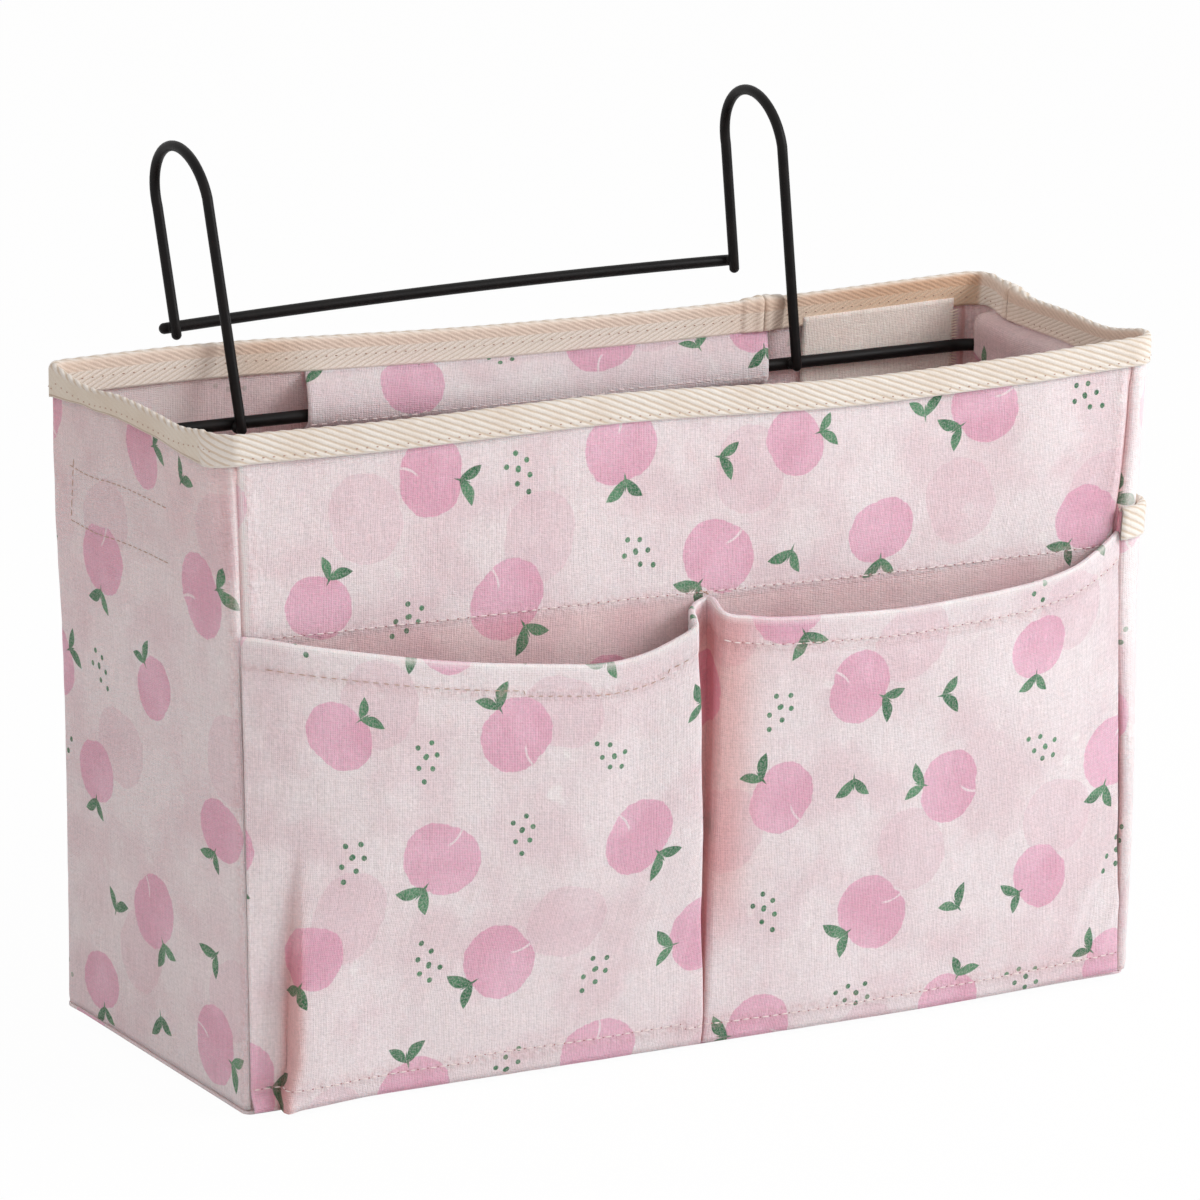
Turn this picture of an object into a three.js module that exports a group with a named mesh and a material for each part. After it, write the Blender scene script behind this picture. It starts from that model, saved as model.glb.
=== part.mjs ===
// Bedside caddy
// A canvas bag with an open top, a strip of two front pouches, one side pocket, and a
// bent wire hanger whose rod and arms lie in fabric sleeves just below the rim.
// Millimetres, +Z up, +X to the right seen from the front, -Y to the front.
// The origin is the middle of the bottom panel's underside.

import * as THREE from 'three';

// Bag body
const bagHeight = 203;
const rimWidth = 322;
const rimDepth = 108;
const rimCornerRadius = 8;
const baseWidth = 315;
const baseDepth = 112;
const baseCornerRadius = 3.5;
const wallBow = 2.5;

// Cloth, tape and board
const clothThickness = 0.9;
const tapeThickness = 0.8;
const tapeWidth = 10;
const tapeFold = 0.5;
const sewnGap = 0.3;
const boardThickness = 2;
const boardClearance = 1;

// Where the two lengths of rim tape meet: from the bag's right end and from its back
const backTapeJointInset = 73;
const sideTapeJointInset = 24;

// Front pouches: one strip of cloth with an inverted pleat down its middle
const pouchHeight = 140;
const pouchMouthDepth = 13;
const leftPouchSag = 12;
const rightPouchSag = 9;
const pleatRoot = 1.5;
const pleatMouthGap = 4.6;

// Side pocket
const sidePocketHeight = 150;
const sidePocketDepth = 8;

// Wire hanger: the rod's drop is from the rim, its setback from the back wall, and the
// hooks' insets are from the bag's ends
const rodDiameter = 4;
const wireDiameter = 3;
const weldGap = 0.3;
const rodDrop = 22.5;
const rodSetback = 6.6;
const rodBendRadius = 8;
const armReach = 62;
const armClearance = 0.4;
const leftHookInset = 53;
const rightHookInset = 72;
const hookGap = 35.5;
const hookLegHeight = 69;
const hookFoot = 2.8;
const rearBarHeight = 31;
const rearBarOverhang = 4;
const rearBarBow = 1.5;
const hookHeel = 3.5;
const leftHookDrift = -3.5;
const rightHookDrift = -1;
const leftHookTilt = THREE.MathUtils.degToRad(7.5);
const rightHookTilt = THREE.MathUtils.degToRad(1.5);

// Fabric sleeves round the rod and the arms: the stitch line's drop is from the rod
const sleeveStitchDrop = 6;
const sleeveFootLength = 17.5;
const sleeveLedge = 1;
const sleeveShoulder = 2.6;
const sleeveSlack = 0.4;
const backSleeveLeftGap = 27;
const backSleeveRightGap = 7;
const sideSleeveSetback = 7;
const sideSleeveLength = 60;
const patchGap = 13;
const patchWidth = 58;

// How finely the curved cloth, the tape and the wires are divided
const cornerSteps = 4;
const wallColumns = 12;
const sideColumns = 8;
const shortColumns = 4;
const wallRows = 8;
const rimColumns = 14;
const wireSides = 10;
const rodSteps = 100;
const hookSteps = 44;
const rearBarSteps = 16;

const mix = THREE.MathUtils.lerp;

// Places that follow from the sizes
const rodHeight = bagHeight - rodDrop;
const leftHookX = leftHookInset - rimWidth / 2;
const rightHookX = rimWidth / 2 - rightHookInset;
const tapeJointX = rimWidth / 2 - backTapeJointInset;
const tapeJointY = rimDepth / 2 - sideTapeJointInset;
const sleeveStitchHeight = rodHeight - sleeveStitchDrop;
const sleeveFootHeight = sleeveStitchHeight - sleeveFootLength;

// A list made at even shares from 0 to 1
function spaced(count, make) {
  return Array.from({ length: count + 1 }, (unused, index) => make(index / count));
}

// Bag outline: every size of the wall at a height
const heightShare = z => z / bagHeight;
const halfWidth = z => mix(baseWidth, rimWidth, heightShare(z)) / 2;
const halfDepth = z => mix(baseDepth, rimDepth, heightShare(z)) / 2;
const cornerRadius = z => mix(baseCornerRadius, rimCornerRadius, heightShare(z));
const seamX = z => halfWidth(z) - cornerRadius(z);
const seamY = z => halfDepth(z) - cornerRadius(z);
const bow = (share, z) => wallBow * (1 - share ** 2) * Math.sin(Math.PI * heightShare(z)) ** 2;

// Stations: each gives the point of a wall at a height, so far out from its outer face.
// The place along a wall may itself change with the height.
function facing(sign, place) {
  return (z, out) => {
    const x = place(z);
    return new THREE.Vector3(x, sign * (halfDepth(z) + bow(x / seamX(z), z) + out), z);
  };
}

function beside(sign, place) {
  return (z, out) => {
    const y = place(z);
    return new THREE.Vector3(sign * (halfWidth(z) + bow(y / seamY(z), z) + out), y, z);
  };
}

function atCorner(signX, signY, turnShare) {
  const turn = turnShare * Math.PI / 2;
  return (z, out) => {
    const radius = cornerRadius(z) + out;
    const x = signX * (seamX(z) + radius * Math.cos(turn));
    const y = signY * (seamY(z) + radius * Math.sin(turn));
    return new THREE.Vector3(x, y, z);
  };
}

const acrossWall = (share, margin) => z => mix(margin - seamX(z), seamX(z) - margin, share);
const alongSide = share => z => mix(-seamY(z), seamY(z), share);

// From the front seam round the side to the back seam
function sideRun(sign) {
  return [
    ...spaced(cornerSteps, share => atCorner(sign, -1, 1 - share)),
    ...spaced(sideColumns, share => beside(sign, alongSide(share))).slice(1, -1),
    ...spaced(cornerSteps, share => atCorner(sign, 1, share)),
  ];
}

// A closed solid from points and triangles, turned so that its faces point out
function solid(points, triangles) {
  let volume = 0;
  for (let first = 0; first < triangles.length; first += 3) {
    const [a, b, c] = triangles.slice(first, first + 3).map(index => points[index]);
    volume += a.dot(b.clone().cross(c));
  }
  const geometry = new THREE.BufferGeometry().setFromPoints(points);
  geometry.setIndex(volume > 0 ? triangles : [...triangles].reverse());
  geometry.computeVertexNormals();
  return geometry;
}

// Cloth of even thickness about the middle surface that rows of points give
function cloth(rows, thickness = clothThickness) {
  const rowCount = rows.length;
  const columnCount = rows[0].length;
  const lift = (row, column, amount) => {
    const up = rows[Math.min(row + 1, rowCount - 1)][column].clone()
      .sub(rows[Math.max(row - 1, 0)][column]);
    const across = rows[row][Math.min(column + 1, columnCount - 1)].clone()
      .sub(rows[row][Math.max(column - 1, 0)]);
    return rows[row][column].clone().addScaledVector(across.cross(up).normalize(), amount);
  };
  const layer = amount => rows.flatMap(
    (points, row) => points.map((unused, column) => lift(row, column, amount)));
  const points = [...layer(thickness / 2), ...layer(-thickness / 2)];
  const at = (side, row, column) => (side * rowCount + row) * columnCount + column;
  const triangles = [];
  const quad = (a, b, c, d) => triangles.push(a, b, c, a, c, d);
  for (let row = 0; row + 1 < rowCount; row += 1) {
    for (let column = 0; column + 1 < columnCount; column += 1) {
      quad(at(0, row, column), at(0, row, column + 1), at(0, row + 1, column + 1), at(0, row + 1, column));
      quad(at(1, row, column), at(1, row + 1, column), at(1, row + 1, column + 1), at(1, row, column + 1));
    }
    const end = columnCount - 1;
    quad(at(0, row, 0), at(0, row + 1, 0), at(1, row + 1, 0), at(1, row, 0));
    quad(at(0, row, end), at(1, row, end), at(1, row + 1, end), at(0, row + 1, end));
  }
  for (let column = 0; column + 1 < columnCount; column += 1) {
    const top = rowCount - 1;
    quad(at(0, 0, column), at(1, 0, column), at(1, 0, column + 1), at(0, 0, column + 1));
    quad(at(0, top, column), at(0, top, column + 1), at(1, top, column + 1), at(1, top, column));
  }
  return solid(points, triangles);
}

// Cloth that follows stations along a wall between listed heights
function wallCloth(stations, heights, out) {
  return cloth(heights.map(z => stations.map(station => station(z, out))));
}

// A band with one cross-section, given as [out, height] pairs, along stations on a wall
function band(stations, profile) {
  const points = stations.flatMap(station => profile.map(([out, z]) => station(z, out)));
  const sides = profile.length;
  const triangles = [];
  for (let section = 0; section + 1 < stations.length; section += 1) {
    for (let corner = 0; corner < sides; corner += 1) {
      const next = (corner + 1) % sides;
      const here = section * sides;
      const there = here + sides;
      triangles.push(here + corner, here + next, there + next, here + corner, there + next, there + corner);
    }
  }
  const outline = profile.map(pair => new THREE.Vector2(...pair));
  const turns = THREE.ShapeUtils.isClockWise(outline);
  const last = (stations.length - 1) * sides;
  for (const face of THREE.ShapeUtils.triangulateShape(outline, [])) {
    const same = THREE.ShapeUtils.isClockWise(face.map(index => outline[index])) === turns;
    const forward = same ? face : [...face].reverse();
    triangles.push(...[...forward].reverse(), ...forward.map(index => index + last));
  }
  return solid(points, triangles);
}

// Tape folded over a cloth edge: outside leg, rounded fold, inside leg
function foldedTape(top) {
  const outer = sewnGap + tapeThickness;
  const inner = -clothThickness - sewnGap - tapeThickness;
  const low = top - tapeWidth;
  return [
    [outer, low],
    [outer, top - tapeFold],
    [outer - tapeFold, top],
    [inner + tapeFold, top],
    [inner, top - tapeFold],
    [inner, low],
    [inner + tapeThickness, low],
    [inner + tapeThickness, top - tapeThickness],
    [sewnGap, top - tapeThickness],
    [sewnGap, low],
  ];
}

// Wall panels stand on the bottom panel and end inside the fold of the rim tape
const panelFoot = clothThickness + sewnGap;
const panelTop = bagHeight - tapeThickness - sewnGap;
const panelHeights = spaced(wallRows, share => mix(panelFoot, panelTop, share));

function facePanel(sign) {
  const stations = spaced(wallColumns, share => facing(sign, acrossWall(share, sewnGap)));
  return wallCloth(stations, panelHeights, -clothThickness / 2);
}

function sidePanel(sign) {
  return wallCloth(sideRun(sign), panelHeights, -clothThickness / 2);
}

// A flat slab with the bag's plan at its foot, so far out from the outer faces
function floorSlab(out, thickness) {
  const x = seamX(0);
  const y = seamY(0);
  const radius = cornerRadius(0) + out;
  const outline = new THREE.Shape();
  outline.absarc(x, -y, radius, -Math.PI / 2, 0);
  outline.absarc(x, y, radius, 0, Math.PI / 2);
  outline.absarc(-x, y, radius, Math.PI / 2, Math.PI);
  outline.absarc(-x, -y, radius, Math.PI, 3 * Math.PI / 2);
  const options = { depth: thickness, bevelEnabled: false, curveSegments: cornerSteps };
  return new THREE.ExtrudeGeometry(outline, options);
}

function bottomBoard() {
  return floorSlab(-clothThickness - boardClearance, boardThickness).translate(0, 0, panelFoot);
}

// Rim tape: a long run, and a short one round the back right corner
function rimTapeLong() {
  const stations = [
    ...spaced(rimColumns, share => facing(1, z => mix(tapeJointX, -seamX(z), share))),
    ...sideRun(-1).reverse().slice(1, -1),
    ...spaced(rimColumns, share => facing(-1, acrossWall(share, 0))),
    ...spaced(cornerSteps, share => atCorner(1, -1, 1 - share)).slice(1, -1),
    ...spaced(sideColumns, share => beside(1, z => mix(-seamY(z), tapeJointY, share))),
  ];
  return band(stations, foldedTape(bagHeight));
}

function rimTapeCorner() {
  const stations = [
    ...spaced(shortColumns, share => beside(1, z => mix(tapeJointY + sewnGap, seamY(z), share))),
    ...spaced(cornerSteps, share => atCorner(1, 1, share)).slice(1),
    ...spaced(shortColumns, share => facing(1, z => mix(seamX(z), tapeJointX + sewnGap, share))).slice(1),
  ];
  return band(stations, foldedTape(bagHeight));
}

// Front pouches: share of the way from the pleat's fold to the side seam,
// share of the pouch's depth there, and share of its sag there
const pouchShares = [
  [0, 0.8, 0.3],
  [0.04, 0.9, 0.5],
  [0.12, 0.96, 0.78],
  [0.28, 0.99, 0.96],
  [0.5, 1, 1],
  [0.7, 0.98, 0.85],
  [0.84, 0.9, 0.6],
  [0.93, 0.74, 0.3],
  [0.98, 0.45, 0.08],
  [1, 0, 0],
];
const pleatRootDepthShare = 0.1;
const pleatRootSagShare = 0.1;

// Share of the pouch's height, and share of its mouth's depth at that height
const pouchProfileShares = [
  [0, 0],
  [0.02, 0.16],
  [0.055, 0.3],
  [0.12, 0.38],
  [0.28, 0.48],
  [0.46, 0.6],
  [0.64, 0.74],
  [0.82, 0.88],
  [0.93, 0.96],
  [1, 1],
];

function pouchPoint(sign, sag, rowShare, depthShare, place, placeDepthShare, sagShare) {
  const z = mix(panelFoot, pouchHeight - sag * sagShare, rowShare);
  const out = sewnGap + clothThickness / 2 + pouchMouthDepth * depthShare * placeDepthShare;
  return facing(-1, () => sign * place(z))(z, out);
}

function pouchHalf(sign, sag, rowShare, depthShare) {
  const fold = mix(pleatRoot, pleatMouthGap, rowShare);
  const seam = z => seamX(z) - sewnGap - clothThickness / 2;
  return [
    pouchPoint(sign, sag, rowShare, depthShare, () => pleatRoot, pleatRootDepthShare, pleatRootSagShare),
    ...pouchShares.map(([share, placeDepthShare, sagShare]) => pouchPoint(
      sign, sag, rowShare, depthShare, z => mix(fold, seam(z), share), placeDepthShare, sagShare)),
  ];
}

function frontPouchStrip() {
  const rows = pouchProfileShares.map(([rowShare, depthShare]) => [
    ...pouchHalf(-1, leftPouchSag, rowShare, depthShare).reverse(),
    pouchPoint(1, 0, rowShare, depthShare, () => 0, 0, 0),
    ...pouchHalf(1, rightPouchSag, rowShare, depthShare),
  ]);
  return cloth(rows);
}

// Side pocket: it stands out a little from the right wall, most at its mouth
const sidePocketTop = sidePocketHeight - tapeThickness - sewnGap;
const sidePocketTapeRoom = z => (
  (sewnGap + tapeThickness) * Math.min(1, z / (sidePocketHeight - tapeWidth))
);
const sidePocketLift = (share, z) => (
  sewnGap + clothThickness + sidePocketTapeRoom(z)
  + sidePocketDepth * Math.sin(Math.PI * share) * (z / sidePocketHeight)
);

function sidePocketRun() {
  const run = sideRun(1);
  const share = index => index / (run.length - 1);
  return run.map((station, index) => (z, out) => station(z, out + sidePocketLift(share(index), z)));
}

function sidePocket() {
  const heights = spaced(wallRows, share => mix(panelFoot, sidePocketTop, share));
  return wallCloth(sidePocketRun(), heights, -clothThickness / 2);
}

// The rod and its sleeves
const rodY = rimDepth / 2 - rodSetback;
const armX = halfWidth(rodHeight) - clothThickness - armClearance - rodDiameter / 2;
const sleeveTopHeight = bagHeight - tapeWidth - sewnGap - clothThickness / 2;
const sleeveSeat = -clothThickness - sewnGap - clothThickness / 2;

// Path of a sleeve's cloth as [out, height] pairs: down from the tape, round the tunnel,
// back to the wall at the stitch line and down to its foot
function sleevePath(tunnelOut) {
  const shoulderOut = tunnelOut + sleeveLedge;
  return [
    [sleeveSeat, sleeveTopHeight],
    [shoulderOut, sleeveTopHeight - sleeveLedge],
    [tunnelOut, sleeveTopHeight - sleeveShoulder],
    [tunnelOut, sleeveStitchHeight + sleeveShoulder],
    [shoulderOut, sleeveStitchHeight + sleeveLedge],
    [sleeveSeat, sleeveStitchHeight],
    [sleeveSeat, mix(sleeveStitchHeight, sleeveFootHeight, 1 / 2)],
    [sleeveSeat, sleeveFootHeight],
  ];
}

function sleeve(stations, tunnelOut) {
  return cloth(sleevePath(tunnelOut).map(([out, z]) => stations.map(station => station(z, out))));
}

const backSleeveLeft = leftHookX + backSleeveLeftGap;
const backSleeveRight = rightHookX - backSleeveRightGap;

function backSleeve() {
  const place = share => mix(backSleeveLeft, backSleeveRight, share);
  const stations = spaced(wallColumns, share => facing(1, () => place(share)));
  const rodFront = rodY - rodDiameter / 2 - armClearance - clothThickness / 2;
  return sleeve(stations, rodFront - halfDepth(rodHeight));
}

function sideSleeve(sign) {
  const back = rodY - sideSleeveSetback;
  const place = share => mix(back - sideSleeveLength, back, share);
  const stations = spaced(sideColumns, share => beside(sign, () => place(share)));
  const tunnel = 3 / 2 * clothThickness + 2 * armClearance + rodDiameter + sleeveSlack;
  return sleeve(stations, -tunnel);
}

function backPatch() {
  const left = backSleeveRight + patchGap;
  const stations = spaced(shortColumns, share => facing(1, () => mix(left, left + patchWidth, share)));
  const heights = spaced(shortColumns, share => mix(sleeveFootHeight, sleeveTopHeight, share));
  return wallCloth(stations, heights, sleeveSeat);
}

// Wire hanger, drawn about the middle of its rod: X along the rod, Y back, Z up the hooks.
// A bend turns from its first radius to its second one, and on if the angle is larger.
class Bend extends THREE.Curve {
  constructor(centre, first, second, angle) {
    super();
    this.centre = centre;
    this.first = first;
    this.second = second;
    this.angle = angle;
  }

  getPoint(share, target = new THREE.Vector3()) {
    const turned = share * this.angle;
    return target.copy(this.centre)
      .addScaledVector(this.first, Math.cos(turned))
      .addScaledVector(this.second, Math.sin(turned));
  }
}

function wire(curves, diameter, steps) {
  const route = new THREE.CurvePath();
  curves.forEach(curve => route.add(curve));
  const section = new THREE.Shape(spaced(wireSides, share => {
    const turn = 2 * Math.PI * share;
    return new THREE.Vector2(Math.cos(turn), Math.sin(turn)).multiplyScalar(diameter / 2);
  }).slice(1));
  return new THREE.ExtrudeGeometry(section, { extrudePath: route, steps });
}

const line = (from, to) => new THREE.LineCurve3(from, to);
const vector = (x, y, z) => new THREE.Vector3(x, y, z);

// The rod runs across the back and turns forward into an arm at each end
function rod() {
  const bendX = armX - rodBendRadius;
  const corner = sign => vector(sign * bendX, -rodBendRadius, 0);
  const ahead = vector(0, rodBendRadius, 0);
  const sideways = sign => vector(sign * rodBendRadius, 0, 0);
  return wire([
    line(vector(-armX, -armReach, 0), vector(-armX, -rodBendRadius, 0)),
    new Bend(corner(-1), sideways(-1), ahead, Math.PI / 2),
    line(vector(-bendX, 0, 0), vector(bendX, 0, 0)),
    new Bend(corner(1), ahead, sideways(1), Math.PI / 2),
    line(vector(armX, -rodBendRadius, 0), vector(armX, -armReach, 0)),
  ], rodDiameter, rodSteps);
}

const legY = -(rodDiameter + wireDiameter) / 2 - weldGap;
const rearLegY = legY + hookGap;
const hookHeight = hookLegHeight + hookGap / 2;

// A hook leans sideways by its drift over its whole height
function hook(drift) {
  const at = (y, z) => vector(drift * z / hookHeight, y, z);
  const archRadius = hookGap / 2;
  const top = hookLegHeight;
  const rise = at(0, archRadius);
  const arch = new Bend(at(legY + archRadius, top), vector(0, -archRadius, 0), rise, Math.PI);
  return wire([
    line(at(legY, -hookFoot), at(legY, top)),
    arch,
    line(at(rearLegY, top), at(rearLegY, rearBarHeight - hookHeel)),
  ], wireDiameter, hookSteps);
}

// The rear bar lies behind both rear legs and bows up a little between them
function rearBar() {
  const behind = rearLegY + wireDiameter + weldGap;
  const crossing = (x, drift, tilt) => vector(drift * rearBarHeight / hookHeight, behind, rearBarHeight)
    .applyAxisAngle(vector(1, 0, 0), -tilt)
    .add(vector(x, 0, 0));
  const left = crossing(leftHookX, leftHookDrift, leftHookTilt);
  const right = crossing(rightHookX, rightHookDrift, rightHookTilt);
  const along = right.clone().sub(left).normalize();
  const start = left.addScaledVector(along, -rearBarOverhang);
  const end = right.addScaledVector(along, wireDiameter / 2);
  const middle = start.clone().lerp(end, 1 / 2).add(vector(0, 0, 2 * rearBarBow));
  return wire([new THREE.QuadraticBezierCurve3(start, middle, end)], wireDiameter, rearBarSteps);
}

// The hanger leans back until its arms press up inside their sleeves
const armTipRise = (
  sleeveTopHeight - sleeveLedge - clothThickness / 2 - sewnGap - rodDiameter / 2 - rodHeight
);
const hangerLean = Math.asin(armTipRise / armReach);

// Colours and finishes
const printedCanvas = { color: 0xe6cdd3, roughness: 0.92, metalness: 0 };
const plainCanvas = { color: 0xdcc6c4, roughness: 0.94, metalness: 0 };
const creamTape = { color: 0xe4dccb, roughness: 0.9, metalness: 0 };
const greyBoard = { color: 0xb9ab98, roughness: 0.85, metalness: 0 };
const blackCoating = { color: 0x1a1817, roughness: 0.45, metalness: 0.1 };

function piece(name, geometry, finish) {
  const mesh = new THREE.Mesh(geometry, new THREE.MeshStandardMaterial(finish));
  mesh.name = name;
  return mesh;
}

const bag = new THREE.Group();
bag.add(
  piece('bottom_panel', floorSlab(0, clothThickness), printedCanvas),
  piece('bottom_board', bottomBoard(), greyBoard),
  piece('front_panel', facePanel(-1), printedCanvas),
  piece('back_panel', facePanel(1), printedCanvas),
  piece('left_side_panel', sidePanel(-1), printedCanvas),
  piece('right_side_panel', sidePanel(1), printedCanvas),
  piece('rim_tape_long', rimTapeLong(), creamTape),
  piece('rim_tape_corner', rimTapeCorner(), creamTape),
  piece('front_pouch_strip', frontPouchStrip(), printedCanvas),
  piece('side_pocket', sidePocket(), printedCanvas),
  piece('side_pocket_tape', band(sidePocketRun(), foldedTape(sidePocketHeight)), creamTape),
  piece('back_rod_sleeve', backSleeve(), printedCanvas),
  piece('left_arm_sleeve', sideSleeve(-1), printedCanvas),
  piece('right_arm_sleeve', sideSleeve(1), printedCanvas),
  piece('back_patch', backPatch(), plainCanvas),
);

const leftHook = piece('left_hook', hook(leftHookDrift), blackCoating);
leftHook.position.x = leftHookX;
leftHook.rotation.x = -leftHookTilt;
const rightHook = piece('right_hook', hook(rightHookDrift), blackCoating);
rightHook.position.x = rightHookX;
rightHook.rotation.x = -rightHookTilt;

const hanger = new THREE.Group();
hanger.add(piece('hanger_rod', rod(), blackCoating), leftHook, rightHook);
hanger.add(piece('rear_bar', rearBar(), blackCoating));
hanger.position.set(0, rodY, rodHeight);
hanger.rotation.x = -hangerLean;

const caddy = new THREE.Group();
caddy.add(bag, hanger);

export default caddy;
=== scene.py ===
"""A bedside caddy: a printed canvas bag with tape-bound edges, hung from a bent wire hanger.

Shapes are worked out in millimetres, in the frame's own axes, and become metres when a mesh
is made.
"""

import math

import bmesh
import bpy
import numpy as np
from mathutils import Matrix, Vector, noise


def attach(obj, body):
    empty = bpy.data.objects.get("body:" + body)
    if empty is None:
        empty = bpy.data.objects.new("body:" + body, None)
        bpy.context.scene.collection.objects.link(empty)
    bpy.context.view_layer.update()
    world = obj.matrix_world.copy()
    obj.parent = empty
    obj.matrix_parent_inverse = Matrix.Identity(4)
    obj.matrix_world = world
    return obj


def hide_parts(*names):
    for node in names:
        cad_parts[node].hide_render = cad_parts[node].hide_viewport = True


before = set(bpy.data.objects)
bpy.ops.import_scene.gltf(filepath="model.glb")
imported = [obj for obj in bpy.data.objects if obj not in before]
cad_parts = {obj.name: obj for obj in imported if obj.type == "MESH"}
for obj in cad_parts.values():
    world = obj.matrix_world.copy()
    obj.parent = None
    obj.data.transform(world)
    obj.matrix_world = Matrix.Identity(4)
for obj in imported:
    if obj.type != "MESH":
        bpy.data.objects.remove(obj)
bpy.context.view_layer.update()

MM = 0.001

# Camera, fitted to the photograph's 1200 by 1200 frame
CAMERA_AZIMUTH = -29.55
CAMERA_ELEVATION = 14.51
CAMERA_ROLL = 1.02
CAMERA_DISTANCE = 2363.6
CAMERA_AIM = (-5.8, 0.0, 124.5)
CAMERA_FOCAL_PIXELS = 7671.0
PHOTO_WIDTH = 1200
SENSOR_WIDTH = 36.0

# Bag: x, y and radius of each upright edge of the outer cloth face, at the base and at the
# rim, going round from the front left
BAG_HEIGHT = 203.0
FRONT_LEFT = ((-155.0, -55.5, 2.5), (-164.5, -53.5, 5.5))
FRONT_RIGHT = ((157.0, -54.5, 4.0), (161.5, -54.5, 10.0))
BACK_RIGHT = ((158.0, 56.0, 4.0), (162.5, 51.5, 7.0))
BACK_LEFT = ((-161.0, 57.0, 4.0), (-166.5, 58.0, 7.0))
CORNERS = (FRONT_LEFT, FRONT_RIGHT, BACK_RIGHT, BACK_LEFT)
FLARE_POWER = 1.6

# By upright edge, counted from the front left: how much wider it is rounded, and how far it
# stands out along x, each with the middle height and the spread of that change
EDGE_WIDENING = {1: (5.0, 125.0, 45.0)}
EDGE_BULGE = {1: (-0.8, 144.0, 9.0), 3: (-1.3, 172.0, 45.0)}

# The front left edge is bevelled near the rim: heights where that starts and is full, how far
# its tip shifts in x and y, and how much longer its rounding is along the left wall
BEVEL_HEIGHTS = (150.0, 196.0)
BEVEL_SHIFT = (-2.2, 4.5)
BEVEL_LENGTH = 0.9

# How far the bag's foot hangs below its base at the front, and up to what height that shows
FOOT_DROP = 4.0
FOOT_DROP_TOP = 75.0

# Walls, each numbered like the upright edge that it starts from
FRONT, RIGHT, BACK, LEFT = range(4)

# How far each wall stands out at half height and at the rim
WALL_SWELL = {FRONT: 1.5, RIGHT: 2.0, BACK: 0.5, LEFT: 1.5}
RIM_SWELL = {FRONT: 0.0, RIGHT: -0.6, BACK: -2.0, LEFT: -1.5}

# Shares along each wall, and how far the rim dips there
RIM_DIP = {
    FRONT: ((0, -0.5), (0.15, 0.2), (0.4, -0.6), (0.7, 2.6), (0.88, 1.2), (1, -0.5)),
    RIGHT: ((0, -0.5), (0.2, 2.6), (0.5, 2.2), (0.75, 2.2), (1, -0.5)),
    BACK: ((0, -0.5), (0.3, 1.6), (0.55, 1.2), (0.9, -1.4), (1, -0.6)),
    LEFT: (
        (0, -0.6), (0.12, 1.5), (0.25, 2.2), (0.35, 1.2), (0.5, 0.9), (0.65, 1.3), (0.85, 1.6),
        (1, -0.5),
    ),
}

# Thicknesses, and the gap that stands for a seam
CLOTH = 0.9
TAPE = 0.8
BOARD = 2.0
SEWN_GAP = 0.3

# Folded tape: its width, the height of its ridges and their pitch along and across it, how much
# finer they are inside, and the lengths over its face to the fold's inner end and in all
TAPE_WIDTH = 10.0
RIDGE = 0.24
RIDGE_RUN = 4.8
RIDGE_RISE = 2.2
INSIDE_RIDGES = 1.6
TAPE_TURN = 15.6
TAPE_RUN = 21.8

# Sewing: how far a panel's edge turns in at its seam, the heights of the front's topstitch at
# the left and right, the hem's depth, the foot's stitch line and the dimples' pitch
SEAM_ROLL = 1.3
TOPSTITCH = (141.2, 137.8)
HEM = 8.0
FOOT_STITCH = 7.5
STITCH_PITCH = 3.4

# Distances between a panel's points, up it and along it
ROW_PITCH = 1.8
COLUMN_PITCH = 1.6

# Sleeves and wires, from the CAD's sizes
ROD_DROP = 22.5
ROD_DIAMETER = 4.0
WIRE_DIAMETER = 3.0
SLEEVE_STITCH_DROP = 6.0
SLEEVE_FOOT = 17.5
BACK_SLEEVE_X = (-81.0, 82.0)
PATCH_X = (95.0, 151.0)
SIDE_SLEEVE_Y = (-19.5, 41.0)
ROD_HEIGHT = BAG_HEIGHT - ROD_DROP
STITCH_HEIGHT = ROD_HEIGHT - SLEEVE_STITCH_DROP
FOOT_HEIGHT = STITCH_HEIGHT - SLEEVE_FOOT
SLEEVE_TOP = BAG_HEIGHT - TAPE_WIDTH - SEWN_GAP - CLOTH / 2
ROD_Y = 47.4


# Camera


def add_camera():
    """The camera that sees the caddy as the photograph does"""
    azimuth, elevation, roll = map(math.radians, (CAMERA_AZIMUTH, CAMERA_ELEVATION, CAMERA_ROLL))
    back = Vector((
        math.sin(azimuth) * math.cos(elevation),
        -math.cos(azimuth) * math.cos(elevation),
        math.sin(elevation),
    ))
    level = Vector((0, 0, 1)).cross(back).normalized()
    upright = back.cross(level)
    right = level * math.cos(roll) + upright * math.sin(roll)
    up = upright * math.cos(roll) - level * math.sin(roll)
    data = bpy.data.cameras.new("camera")
    data.sensor_width = SENSOR_WIDTH
    data.lens = CAMERA_FOCAL_PIXELS / PHOTO_WIDTH * SENSOR_WIDTH
    data.clip_start = 0.05
    data.clip_end = 50
    camera = bpy.data.objects.new("camera", data)
    place = Matrix((right, up, back)).transposed().to_4x4()
    place.translation = (Vector(CAMERA_AIM) + back * CAMERA_DISTANCE) * MM
    camera.matrix_world = place
    bpy.context.scene.collection.objects.link(camera)
    bpy.context.scene.camera = camera


# Numbers and shapes


def rise(low, high, value):
    """0 below low, 1 above high, smooth between"""
    share = np.clip((value - low) / (high - low), 0, 1)
    return share * share * (3 - 2 * share)


def hump(value, centre, width):
    return np.exp(-(((value - centre) / width) ** 2))


def lerp(first, last, share):
    return first + (last - first) * share


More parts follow.
